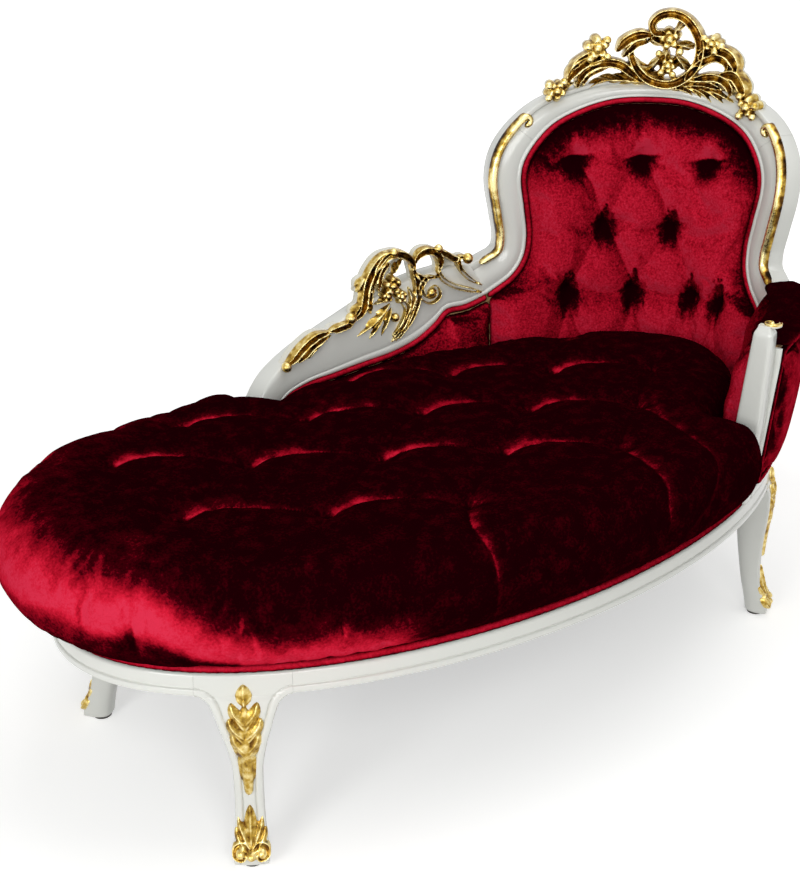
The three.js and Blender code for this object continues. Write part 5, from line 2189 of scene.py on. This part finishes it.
    def side_pleats(self, piece: Piece) -> None:
        """Gathers the free side into soft pleats that run down to the piping.

        Args:
            piece: The piece.
        """
        points = coordinates(piece)
        facing = normals(piece)
        plan = self.plan(piece)
        run = self.oval.run_of(plan[:, 0], plan[:, 1])
        height = points[:, 2] / MM - self.oval.rail_top
        random = np.random.default_rng(SEED + 5)
        pull = np.zeros(len(points))
        at = -self.oval.half_round + 20
        while at < self.oval.half_round:
            tall = random.uniform(35, 80)
            slant = random.uniform(-0.25, 0.25)
            far = np.abs(run - at - slant * height)
            fade = window(height, 2, 14, tall * 0.5, tall)
            pull = np.maximum(pull, random.uniform(1.0, 2.6) * np.exp(-far / 6.0) * fade)
            at += random.uniform(38, 96)
        points -= facing * (pull * (1 - np.abs(facing[:, 2])) * MM)[:, None]
        set_coordinates(piece, points)

    def keep_clear(self, piece: Piece) -> None:
        """Keeps the cushion above the deck.

        Args:
            piece: The piece.
        """
        points = coordinates(piece)
        points[:, 2] = np.maximum(points[:, 2], (self.oval.rail_top + CLEAR) * MM)
        set_coordinates(piece, points)


@dataclass
class BackPad:
    """The deep-buttoned pad of the back."""

    oval: Oval
    back: BackFrame
    edge_set: float = 12.6
    crown: float = 34.0
    stand: float = 50.0
    rear: float = 34.3
    pitch: float = 139.0
    row: float = 130.0
    top_row: float = 818.0
    lowest: float = 330.0
    voxel: float = 5.5

    def outline(self, count: int) -> Points:
        """Returns the pad's edge, up one side from the rail, round the arch and down again.

        Args:
            count: Points round the arch.

        Returns:
            The edge's points.
        """
        arch = inset(self.back.inner, np.linspace(0, 1, count), self.edge_set)
        left = np.column_stack(
            [np.full(20, arch[0, 0]), np.linspace(self.lowest, arch[0, 1], 20, endpoint=False)]
        )
        right = np.column_stack(
            [np.full(20, arch[-1, 0]), np.linspace(arch[-1, 1], self.lowest, 21)[1:]]
        )
        foot = np.linspace(arch[-1, 0], arch[0, 0], 40)[1:-1]
        return np.vstack([left, arch, right, np.column_stack([foot, np.full(38, self.lowest)])])

    def tufts(self) -> list[tuple[float, float]]:
        """Returns the buttons as runs and heights."""
        rows = ((-0.96, 0.06, 1.06), (-0.46, 0.58), (-1.5, -0.92, 0.08, 1.12))
        return [
            (self.back.centre + column * self.pitch, self.top_row - level * self.row)
            for level, columns in enumerate(rows)
            for column in columns
        ]

    def pleats(self) -> list[Pleat]:
        """Returns the pleats between the buttons, and those to the edge.

        Returns:
            The pleats.
        """
        found = []
        tufts = self.tufts()
        for ax, ay in tufts:
            for bx, by in tufts:
                if abs(by - ay + self.row) < 1 and abs(bx - ax) < 0.75 * self.pitch:
                    found.append(Pleat.bowed((ax, ay), (bx, by), 5.0 if bx > ax else -5.0, 0.7))
        for x, y in tufts[:3]:
            lean = (x - self.back.centre) * 0.1
            found.append(Pleat.bowed((x, y), (x + lean, y + 62), 0, 0.55))
        for level, (x, y) in enumerate(tufts[:5]):
            rise, bow = (8, 4) if level < 3 else (2, -4)
            found.append(Pleat.bowed((x - 34, y + rise), (x, y), -bow, 0.85))
            found.append(Pleat.bowed((x, y), (x + 38, y - 9), 4, 0.85))
        for first, second in zip(tufts[5:-1], tufts[6:]):
            found.append(Pleat.bowed(first, second, -10, 0.9))
        for x, y in tufts[-4:]:
            found.append(Pleat.bowed((x, y), (x - 26, y - 100), 6, 0.6))
            found.append(Pleat.bowed((x, y), (x + 30, y - 110), -6, 0.6))
        right = self.back.centre - self.pitch * 0.46
        found.append(Pleat.bowed((right, self.top_row - self.row), (right - 160, 700), 24, 0.4))
        found.append(Pleat.bowed((self.back.centre + 8, self.top_row), (right - 90, 720), -16, 0.4))
        return found

    def painted_light_and_shade(self, points: Points) -> Array:
        """Returns painted light and shade: bright above each top button, dark in the fold below
        each.

        Args:
            points: Points of the cover's plane.

        Returns:
            One value for each point, above 0 where it is bright.
        """
        value = np.zeros(len(points))
        ragged = 5.0 * wander(points, 16, SEED + 40) + 3.0 * wander(points, 7, SEED + 41)
        # Painted highlight above each top button, and painted shade in the folds below the buttons.
        for number, (x, y) in enumerate(self.tufts()):
            across = points[:, 0] - x
            up = points[:, 1] - y + 0.12 * across
            wide = np.abs(across) + ragged
            if number < 3:
                below = mix(36.0, 16.0, np.clip(-up / 55, 0, 1))
                dark = 1 - smoothstep(wide, below * 0.35, below + 10)
                dark *= (1 - smoothstep(up, -3, 3)) * (1 - smoothstep(-up, 8, 62))
                flame = np.clip(1 - up / 40, 0, 1) * 44
                bright = (1 - smoothstep(wide, flame * 0.3, flame + 6)) * smoothstep(up, -2, 3)
                value += 0.3 * bright * (up < 46) - 0.72 * dark
            else:
                tall, deep = (31.0, 62.0) if number < 5 else (34.0, 74.0)
                point = np.clip(1 - up / tall, 0, 1) * 31
                prongs = mix(31.0, 20.0, np.clip(-up / deep, 0, 1))
                half = np.where(up > 0, point, prongs)
                dark = 1 - smoothstep(wide, half * 0.3, half + 8)
                split = np.exp(-((across / 7) ** 2)) * smoothstep(-up, 20, 45)
                dark *= (1 - smoothstep(-up, deep * 0.3, deep)) * (up < tall + 8)
                dark *= 1 - 0.6 * split
                value -= 0.64 * dark
        # Painted shade along the frame's edge, deepest under the crest rail.
        far = nearest_on(points, self.back.inner(np.linspace(0, 1, 90)))[0]
        rim = (1 - smoothstep(far + 1.4 * ragged, 4, 84)) * smoothstep(points[:, 1], 720, 840)
        side = (1 - smoothstep(far + ragged, 8, 30)) * 0.15
        return np.clip(value, -0.8, 0.22) - np.maximum(0.62 * rim, side)

    def build(self) -> None:
        """Makes the pad."""
        outline = self.outline(120)
        middle = np.array([self.back.centre, self.oval.rail_top + self.back.rise / 2])
        shares = np.concatenate([np.linspace(0.0, 0.9, 12), [0.95, 0.98, 1.0]])
        behind = [1.0, 0.6, 0.0]
        rows = len(shares) + len(behind) - 1

        def shape(i: Ints, j: Ints) -> Points:
            """Gives the pad's rings, from the middle round its edge to the back."""
            front = j < len(shares)
            share = shares[np.minimum(j, len(shares) - 1)]
            back_share = np.array(behind)[np.clip(j - len(shares), 0, len(behind) - 1)]
            reach = np.where(front, share, back_share)[:, None]
            at = mix(middle, outline[i], reach)
            swell = self.stand + self.crown * np.sqrt(np.clip(1 - share**6, 0, 1))
            depth = np.where(front, swell, self.rear)
            return np.column_stack([at, depth]) * MM

        piece = swept("back_pad_tufted", len(outline), rows, shape, ends=False)
        remeshed(piece, self.voxel * MM)
        seed = SEED + 20
        tufting = Tufting(
            self.tufts(), self.pleats(), pleat_depth=6.0, pleat_width=34.0, tuft_depth=22.0,
            tuft_width=22.0, seed=seed,
        )
        self.pull(piece, tufting)
        flat = coordinates(piece)
        rear = flat[:, 2] < (self.stand - 2) * MM
        inflate(piece, np.maximum(tufting.held(flat[:, :2] / MM), rear * 1.0), 0.008)
        subdivided(piece)
        creases = Tufting([], self.pleats(), pleat_depth=2.2, pleat_width=8.0, seed=seed)
        self.pull(piece, creases)
        points = coordinates(piece) / MM
        store(piece, "painted_light_and_shade", self.painted_light_and_shade(points[:, :2]))
        mirrored(piece, self.oval.turned(points))
        add_hollows(piece, 10, 0.004)
        Workshop.deliver(piece, BACK_VELVET, "back_pad", fill=0.8)

    def pull(self, piece: Piece, tufting: Tufting) -> None:
        """Pulls the flat cover in at the buttons and pleats.

        Args:
            piece: The piece.
            tufting: Its buttons and pleats.
        """
        points = coordinates(piece)
        front = smoothstep(points[:, 2] / MM, self.stand - 4, self.stand + 16)
        points[:, 2] -= tufting.dent(points[:, :2] / MM) * front * MM
        set_coordinates(piece, points)


@dataclass
class StripPad:
    """A plain padded strip between a lower and an upper edge, with soft folds along it."""

    oval: Oval
    name: str
    node: str
    lower: Edge
    upper: Edge
    crown: float
    rear: float
    front: float
    finish: Finish
    folds: float = 3.0
    seed: int = SEED
    voxel: float = 5.0
    ends: float = 0.1

    def build(self) -> None:
        """Makes the pad."""
        rows = 80
        across = np.concatenate([np.linspace(0, 1, 25), [0.98, 0.5, 0.02]])

        def shape(i: Ints, j: Ints) -> Points:
            """Gives the strip's crowned face and its flat back."""
            share = j / rows
            at = mix(self.lower(share), self.upper(share), across[i][:, None])
            swell = np.sqrt(np.minimum(1, self.ends + 8 * np.minimum(share, 1 - share)))
            bulge = np.clip(1 - np.abs(2 * across[i] - 1) ** 3.2, 0, 1) ** 0.7
            depth = np.where(i < 25, self.front + self.crown * bulge * swell, self.rear)
            return np.column_stack([at, depth]) * MM

        piece = swept(self.name, len(across), rows, shape)
        remeshed(piece, self.voxel * MM)
        flat = coordinates(piece)
        side = math.copysign(1.0, self.front - self.rear)
        rear = (flat[:, 2] * side) < (self.rear * side + 6) * MM
        inflate(piece, rear * 1.0, 0.006, 3.0)
        subdivided(piece)
        points = coordinates(piece) / MM
        reach = smoothstep(points[:, 2] * side, self.front * side - 2, self.front * side + 14)
        plan = points[:, :2] * np.array([0.55, 1.6])
        points[:, 2] -= side * reach * self.folds * (0.5 + 0.5 * wander(plan, 110, self.seed))
        mirrored(piece, self.oval.turned(points))
        add_hollows(piece, 10, 0.004)
        Workshop.deliver(piece, self.finish, self.node, fill=0.8)


@dataclass
class Upholstery:
    """The wing's and arm's pads, the outside panels and every piping."""

    oval: Oval
    back: BackFrame
    wing: WingFrame
    pipe: float = 6.0
    pipe_depth: float = -40.5
    arm_length: float = 374.0
    arm_rise: float = 285.0
    post_width: float = 36.0
    sill: float = 16.0
    panel_set: float = 16.6
    stile_set: float = 8.0
    panel_front: float = -6.8

    def __post_init__(self) -> None:
        """Finds the arm's ends."""
        one = np.ones(1)
        self.arm_head = self.back.outer(one)[0, 0]
        self.back_edge, self.stile_foot = self.back.inner(one)[0]
        self.arm_end = self.back_edge - self.arm_length
        self.arm_top = self.oval.rail_top + self.arm_rise

    def piping(
        self, part: str, run: Array, height: Values, depth: float, finish: Finish = PIPING_VELVET
    ) -> None:
        """Makes one part's piping along points of the developed plane.

        Args:
            part: What it trims.
            run: Runs along the rail.
            height: Heights above the floor.
            depth: Depth of its middle.
            finish: Its finish.
        """
        path = self.oval.place(run, height, depth)
        outward = self.oval.place(run, height, depth + self.pipe)
        Workshop.deliver(tube(f"piping_{part}", path, outward, self.pipe), finish, f"{part}_piping")

    def pipings(self) -> None:
        """Makes the pipings of the back, the wing, the seat and the arm."""
        pipe, rail_top = self.pipe, self.oval.rail_top
        line = inset(self.back.inner, np.linspace(0, 1, 420), pipe + 0.6)
        self.piping("back", line[:, 0], line[:, 1], self.pipe_depth)
        line = inset(self.wing.inner, np.linspace(0.004, 0.9, 260), -(pipe + CLEAR))
        self.piping("wing", line[:, 0], line[:, 1], self.pipe_depth)

        start = self.wing.start + self.wing.length + 3.3
        end = 2 * self.oval.half_round + self.arm_end - self.post_width / 2 - 3
        self.piping("seat", np.linspace(start, end, 520), rail_top + pipe + CLEAR, -pipe - 0.6)

        left = self.arm_end + self.post_width / 2 + 3 + pipe + CLEAR
        low = rail_top + self.sill + 3 + pipe + CLEAR
        high = self.arm_top - pipe - CLEAR
        corner = 14.0
        turn = np.linspace(0, math.pi / 2, 9)
        far, near = left + corner - corner * np.sin(turn), left + corner - corner * np.cos(turn)
        spots = np.vstack(
            [
                (self.arm_head - 3 - pipe - CLEAR, high),
                np.column_stack([far, high - corner + corner * np.cos(turn)]),
                np.column_stack([near, low + corner - corner * np.sin(turn)]),
                (self.back_edge - pipe - 0.6, low),
            ]
        )
        lengths = np.concatenate([[0], np.cumsum(np.linalg.norm(np.diff(spots, axis=0), axis=1))])
        way = np.linspace(0, lengths[-1], 300)
        run, height = (np.interp(way, lengths, values) for values in spots.T)
        self.piping("arm", run, height, 0.0, ARM_VELVET)

    def pads(self) -> None:
        """Makes the wing's pad, the arm's pads and roll, and the outside panels."""
        oval = self.oval

        def wing_edge(share: Array, distance: float) -> Points:
            """Gives points at a distance from the wing's frame."""
            line = inset(self.wing.inner, share * 0.9, -distance)
            return line + np.array([0.9, 0.0])

        def level(edge: Edge, height: float) -> Edge:
            """Gives an edge's runs at one height."""
            return lambda share: np.column_stack([edge(share)[:, 0], np.full(len(share), height)])

        wing_low = level(lambda share: wing_edge(share, 0.0), oval.rail_top + 3)
        StripPad(
            oval, "wing_pad_plain", "wing_pad", wing_low, lambda s: wing_edge(s, 12.6),
            crown=32.0, rear=34.3, front=50.0, finish=BACK_VELVET, folds=9.0, seed=SEED + 31,
        ).build()

        start = self.arm_head - 3
        end = self.arm_end + self.post_width / 2 + 3
        foot = oval.rail_top + self.sill + 3

        def arm_line(low: float, high: float, height: float) -> Edge:
            """Gives a level line between two runs."""
            return lambda share: np.column_stack(
                [mix(low, high, share), np.full(len(share), height)]
            )

        StripPad(
            oval, "arm_inside_pad_plain", "arm_inside_pad", arm_line(start, end, foot),
            arm_line(start, end, self.arm_top - 3),
            crown=32.0, rear=35.9, front=50.0, finish=BACK_VELVET, folds=3.0, seed=SEED + 32,
        ).build()
        low, high = self.back_edge - 2, end + self.panel_set + 2

        def under_stile(share: Array) -> Points:
            """Gives the arm cover's top, which falls along the stile."""
            run = mix(low, high, share)
            heights = [self.arm_top - self.panel_set, self.stile_foot - self.stile_set]
            return np.column_stack([run, np.interp(run, [self.arm_head, self.back_edge], heights)])

        StripPad(
            oval, "arm_outside_panel_plain", "arm_outside_panel",
            arm_line(low, high, foot + self.panel_set), under_stile,
            crown=-12.0, rear=9.1, front=-4.0, finish=ARM_VELVET, folds=1.5, seed=SEED + 33,
        ).build()
        self.roll(start, end)
        self.outside_back()

        StripPad(
            oval, "outside_wing_panel_plain", "outside_wing_panel",
            level(lambda share: wing_edge(share, 0.0), oval.rail_top + 0.4),
            lambda s: wing_edge(s, 3.0),
            crown=-5.0, rear=6.8, front=-4.0, finish=OUTSIDE_VELVET, folds=0.8, seed=SEED + 34,
            ends=1.0,
        ).build()

    def roll(self, start: float, end: float) -> None:
        """Makes the padded roll on top of the arm.

        Args:
            start: Run of its one end.
            end: Run of its other end.
        """
        rows, ring = 60, 28
        inner, outer = -59.0, 14.0
        middle = (inner + outer) / 2
        bottom = self.arm_top + CLEAR

        def shape(i: Ints, j: Ints) -> Points:
            """Gives the roll's rings, drawn in at both ends."""
            angle = i / ring * 2 * math.pi
            share = j / rows
            end_round = np.sqrt(np.clip(1 - (1 - np.minimum(share, 1 - share) * 14) ** 2, 0.02, 1))
            end_round = np.where(np.minimum(share, 1 - share) * 14 > 1, 1, end_round)
            half = (outer - inner) / 2 * mix(0.55, 1, end_round)
            c, s = np.cos(angle), np.sin(angle)
            depth = middle + half * 1.08 * np.sign(c) * np.abs(c) ** 0.85
            up = 9.0 + 12.0 * np.sign(s) * np.abs(s) ** 0.8 * mix(0.6, 1, end_round)
            height = np.maximum(bottom + up, bottom)
            return np.column_stack([mix(start, end, share), height, -depth]) * MM

        piece = swept("arm_roll_padded", ring, rows, shape)
        remeshed(piece, 0.005)
        flat = coordinates(piece)
        inflate(piece, (flat[:, 2] < (bottom + 2) * MM) * 1.0, 0.004, 3.0)
        subdivided(piece)
        points = coordinates(piece) / MM
        points[:, 1] = np.maximum(points[:, 1], bottom)
        points[:, 1] += 1.2 * wander(points[:, [0, 2]] * np.array([1.0, 2.0]), 60, SEED + 35)
        points[:, 1] = np.maximum(points[:, 1], bottom)
        mirrored(piece, self.oval.turned(points))
        Workshop.deliver(piece, ROLL_VELVET, "arm_roll", fill=0.9)

    def outside_back(self) -> None:
        """Makes the plain padded panel on the outside of the back."""
        pad = BackPad(self.oval, self.back, edge_set=3.2, lowest=self.oval.rail_top + 0.4)
        outline = pad.outline(120)
        middle = np.array([self.back.centre, self.oval.rail_top + self.back.rise / 2])
        shares = np.array([0.0, 0.2, 0.4, 0.6, 0.75, 0.86, 0.93, 0.97, 0.99, 1.0])
        rows = len(shares) + 2

        def shape(i: Ints, j: Ints) -> Points:
            """Gives the panel's rings, from the middle round its edge."""
            front = j < len(shares)
            share = np.where(front, shares[np.minimum(j, len(shares) - 1)], 0)
            behind = np.array([1.0, 0.5, 0.0])[np.clip(j - len(shares), 0, 2)]
            at = mix(middle, outline[i], np.where(front, share, behind)[:, None])
            crown = 1.0 + 7.0 * np.sqrt(np.clip(1 - share**8, 0, 1))
            depth = np.where(front, crown, self.panel_front)
            return np.column_stack([at, depth]) * MM

        piece = swept("outside_back_panel_plain", len(outline), rows, shape, ends=False)
        remeshed(piece, 0.006)
        points = coordinates(piece) / MM
        points[:, 2] += 0.8 * wander(points[:, :2], 120, SEED + 36) * (points[:, 2] > 0)
        set_coordinates(piece, self.oval.place(points[:, 0], points[:, 1], points[:, 2]))
        subdivided(piece)
        Workshop.deliver(piece, OUTSIDE_VELVET, "outside_back_panel", fill=0.9)


@dataclass
class Arm:
    """The arm's post with its small scroll, and the sill under its panel."""

    oval: Oval
    cover: Upholstery
    rise: float = 326.0
    width: float = 36.0
    rows: int = 70
    depth: float = 45.0
    square: float = 0.32
    border: float = 6.5
    table: tuple = (
        # up the rise, along the post's width, and in from its outer face
        (0, 1, 0), (0.12, 1.02, 0), (0.4, 0.98, 0.03), (0.7, 0.92, 0.12), (0.88, 0.86, 0.2),
        (0.97, 0.76, 0.26), (1, 0.55, 0.36),
    )

    def build(self) -> None:
        """Makes the post, the sill and the scroll."""
        table = np.array(self.table, float)
        top = self.oval.rail_top
        low = top + CLEAR
        ring = 40
        cap_shares = 1 - 0.06 * (1 - np.sin(np.linspace(0.1, 1.57, 10))) ** 1.5
        shares = np.concatenate([np.linspace(0, 0.94, self.rows), cap_shares])

        def shape(i: Ints, j: Ints) -> Points:
            """Gives the post's rings, rounded at the top."""
            share = shares[j]
            half = smooth_table(table, 1, share) * self.width / 2
            taper = smooth_table(table, 2, share) * self.depth
            angle = (i + 0.5) / ring * 2 * math.pi
            c, s = np.cos(angle), np.sin(angle)
            across = np.sign(c) * np.abs(c) ** self.square * half
            middle = (-self.depth - taper) / 2
            reach = (self.depth - taper) / 2
            depth = middle + np.sign(s) * np.abs(s) ** self.square * reach
            crown = smoothstep(share, 0.955, 1.0)
            across *= 1 - 0.3 * crown
            depth = mix(depth, middle, 0.3 * crown)
            return self.oval.place(
                self.cover.arm_end + across, low + share * (self.rise - CLEAR), depth
            )

        work = bmesh.new()
        grid_into(work, ring, len(shares) - 1, shape)
        side = self.cover.arm_end + self.width / 2 - 0.5
        rim = np.linspace(0, math.pi, 13)

        def border(i: Ints, j: Ints) -> Points:
            """Gives the round border of the panel's edge."""
            angle = rim[np.minimum(i, len(rim) - 1)]
            turn = smoothstep(j / 30, 0.86, 1.0)
            run = side + self.border / 2 + self.border / 2 * np.cos(angle) - 5 * turn
            depth = np.where(i < len(rim), -6.0 + 8.0 * np.sin(angle), -30.0)
            run = np.where(i == len(rim), side, run)
            run = np.where(i == len(rim) + 1, side + self.border, run)
            return self.oval.place(run, mix(top + 16.2, self.cover.arm_top - 1, j / 30), depth)

        grid_into(work, len(rim) + 2, 30, border)
        Workshop.deliver(piece_of("arm_post_rounded", work, 60.0), LACQUER, "arm_post")

        relief = Relief()
        relief.band(
            [(15, 12), (6, 15), (-4, 10), (-6, 0), (1, -7), (9, -4), (8, 3)],
            8, -3, 4, rows=60, thin=0.7,
        )
        relief.ball(2, 2, 4, 1)

        def cap(flat: Points) -> Points:
            """Lays the scroll on the post's top."""
            return self.oval.place(
                self.cover.arm_end + 6 + flat[:, 0], top + self.rise + flat[:, 2],
                -24.0 + flat[:, 1],
            )

        Workshop.deliver(relief.carved("arm_cap_scroll", cap, 1.0, leaf_from=0.0), GOLD_ON_WHITE)

        profile = np.array(
            [
                (low, -self.depth), (low, -1.0), (low + 1, 0.0), (top + 10, 0.0),
                (top + 13, -0.6), (top + 15, -2.2), (top + 16, -4.5), (top + 16, -self.depth),
            ]
        )
        start = self.cover.back_edge - 2
        end = self.cover.arm_end + self.width / 2 + CLEAR

        def sill(i: Ints, j: Ints) -> Points:
            """Runs the sill's section along the arm."""
            return self.oval.place(mix(start, end, j / 60), profile[i, 0], profile[i, 1])

        piece = swept("arm_sill_rounded", len(profile), 60, sill, sharp=35.0)
        Workshop.deliver(piece, LACQUER, "arm_sill")


@dataclass
class HiddenTimber:
    """The nodes that stay as they are in the frame: boards, braces, blocks, posts and glides."""

    wood: tuple[str, ...] = (
        "seat_deck", "seat_brace_foot", "seat_brace_middle", "seat_brace_head",
        "corner_block_head_front", "corner_block_head_rear", "corner_block_foot_rear",
        "corner_block_foot_front", "back_post_rear", "back_post_head", "arm_rail", "back_board",
        "wing_board",
    )
    glides: tuple[str, ...] = (
        "glide_head_front", "glide_head_rear", "glide_foot_rear", "glide_foot_front",
    )
    cover: str = "dust_cover"

    def build(self) -> None:
        """Gives each node its material."""
        for names, finish in ((self.wood, BEECH), (self.glides, NYLON), ((self.cover,), CLOTH)):
            for name in names:
                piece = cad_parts[name]
                piece.data.materials.clear()
                piece.data.materials.append(finish.material())
                log.info("%s: kept, %s", name, finish.name)


@dataclass
class Studio:
    """The floor, the light and the camera."""

    centre: Vector
    lens: float = 57.96
    camera_place: tuple[float, float, float] = (-1.4535, -1.7134, 1.4383)
    heading: float = 51.91
    pitch: float = 23.97
    roll: float = -0.27
    ambience: float = 0.32
    lamps: tuple = (
        # name, place, aim, size in metres and watts
        ("key_left", (-3.2, -1.3, 1.5), (0.2, 0.0, 0.6), (1.2, 1.4), 37.0),
        ("key_camera", (-1.6, -2.6, 2.0), (0.1, 0.0, 0.4), (1.4, 1.4), 33.0),
        ("top", (0.4, -0.4, 3.4), (0.0, 0.0, 0.3), (2.6, 2.6), 40.0),
    )

    def aim(self, thing: Piece, place: Vector, target: Vector) -> None:
        """Puts a lamp in its place, facing a target."""
        thing.location = place
        thing.rotation_euler = (target - place).to_track_quat("-Z", "Y").to_euler()

    def build(self) -> None:
        """Makes the studio."""
        scene = bpy.context.scene
        scene.view_settings.view_transform = "Standard"
        self.floor()
        self.world(scene)
        for name, place, target, size, watts in self.lamps:
            data = bpy.data.lights.new(name, "AREA")
            data.shape = "RECTANGLE"
            data.size, data.size_y = size
            data.energy = watts
            lamp = bpy.data.objects.new(name, data)
            scene.collection.objects.link(lamp)
            self.aim(lamp, Vector(place), Vector(target))
        camera_data = bpy.data.cameras.new("camera")
        camera_data.lens = self.lens
        camera_data.sensor_width = 36.0
        camera = bpy.data.objects.new("camera", camera_data)
        scene.collection.objects.link(camera)
        camera.location = Vector(self.camera_place) + Vector((self.centre.x, self.centre.y, 0))
        turn = Euler((math.radians(90 - self.pitch), 0, math.radians(self.heading - 90)), "XYZ")
        rolled = turn.to_matrix() @ Matrix.Rotation(math.radians(self.roll), 3, "Z")
        camera.rotation_euler = rolled.to_euler()
        scene.camera = camera

    @staticmethod
    def seen(tree: Tree) -> Socket:
        """Returns 1 for camera, glossy and transmission rays.

        Args:
            tree: The node's tree.

        Returns:
            The value.
        """
        path = node(tree, "LightPath").outputs
        either = maths(tree, "MAXIMUM", path["Is Camera Ray"], path["Is Glossy Ray"])
        return maths(tree, "MAXIMUM", either, path["Is Transmission Ray"])

    def floor(self) -> None:
        """Makes a pale plain floor that keeps the couch's shadow."""
        work = bmesh.new()
        bmesh.ops.create_grid(work, x_segments=1, y_segments=1, size=40.0)
        piece = piece_of("floor", work)
        material = bpy.data.materials.new("floor_white")
        material.use_nodes = True
        tree = material.node_tree
        # The floor shows the couch's shadow near it, and fades to plain white farther out.
        away = node(tree, "VectorMath", {0: Finish.places(tree)}, operation="LENGTH")
        fade = Finish.spread(tree, away.outputs["Value"], 1.1, 2.6, 0.42, 1.0)
        inputs = {
            "Base Color": linear("#F4F4F2"),
            "Roughness": 0.9,
            "Specular IOR Level": 0.1,
            "Emission Color": (1, 1, 1, 1),
            "Emission Strength": maths(tree, "MULTIPLY", self.seen(tree), fade),
        }
        fill(tree, tree.nodes["Principled BSDF"], inputs)
        piece.data.materials.append(material)

    def world(self, scene: bpy.types.Scene) -> None:
        """Makes the white surroundings, which light the couch only softly.

        Args:
            scene: The scene that they surround.
        """
        world = bpy.data.worlds.new("studio")
        world.use_nodes = True
        tree = world.node_tree
        strength = Finish.spread(tree, self.seen(tree), 0, 1, self.ambience, 1.0)
        inputs = {"Color": (1, 1, 1, 1), "Strength": strength}
        fill(tree, tree.nodes["Background"], inputs)
        scene.world = world


def main() -> None:
    """Builds the couch and its studio."""
    logging.basicConfig(level=logging.INFO, format="%(name)s %(message)s")
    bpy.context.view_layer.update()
    oval = Oval()
    Studio(oval.centre).build()
    rail = SeatRail(oval)
    rail.build()
    legs = Legs(oval, rail)
    legs.build()
    LegLeaves(oval, legs).build()
    back = BackFrame(oval)
    back.build()
    wing = WingFrame(oval, back)
    wing.build()
    cover = Upholstery(oval, back, wing)
    Arm(oval, cover).build()
    HiddenTimber().build()
    SeatCushion(oval, wing).build()
    BackPad(oval, back).build()
    cover.pads()
    cover.pipings()
    CrestCarving(oval).build()
    WingCarving(oval).build()


if __name__ == "__main__":
    main()
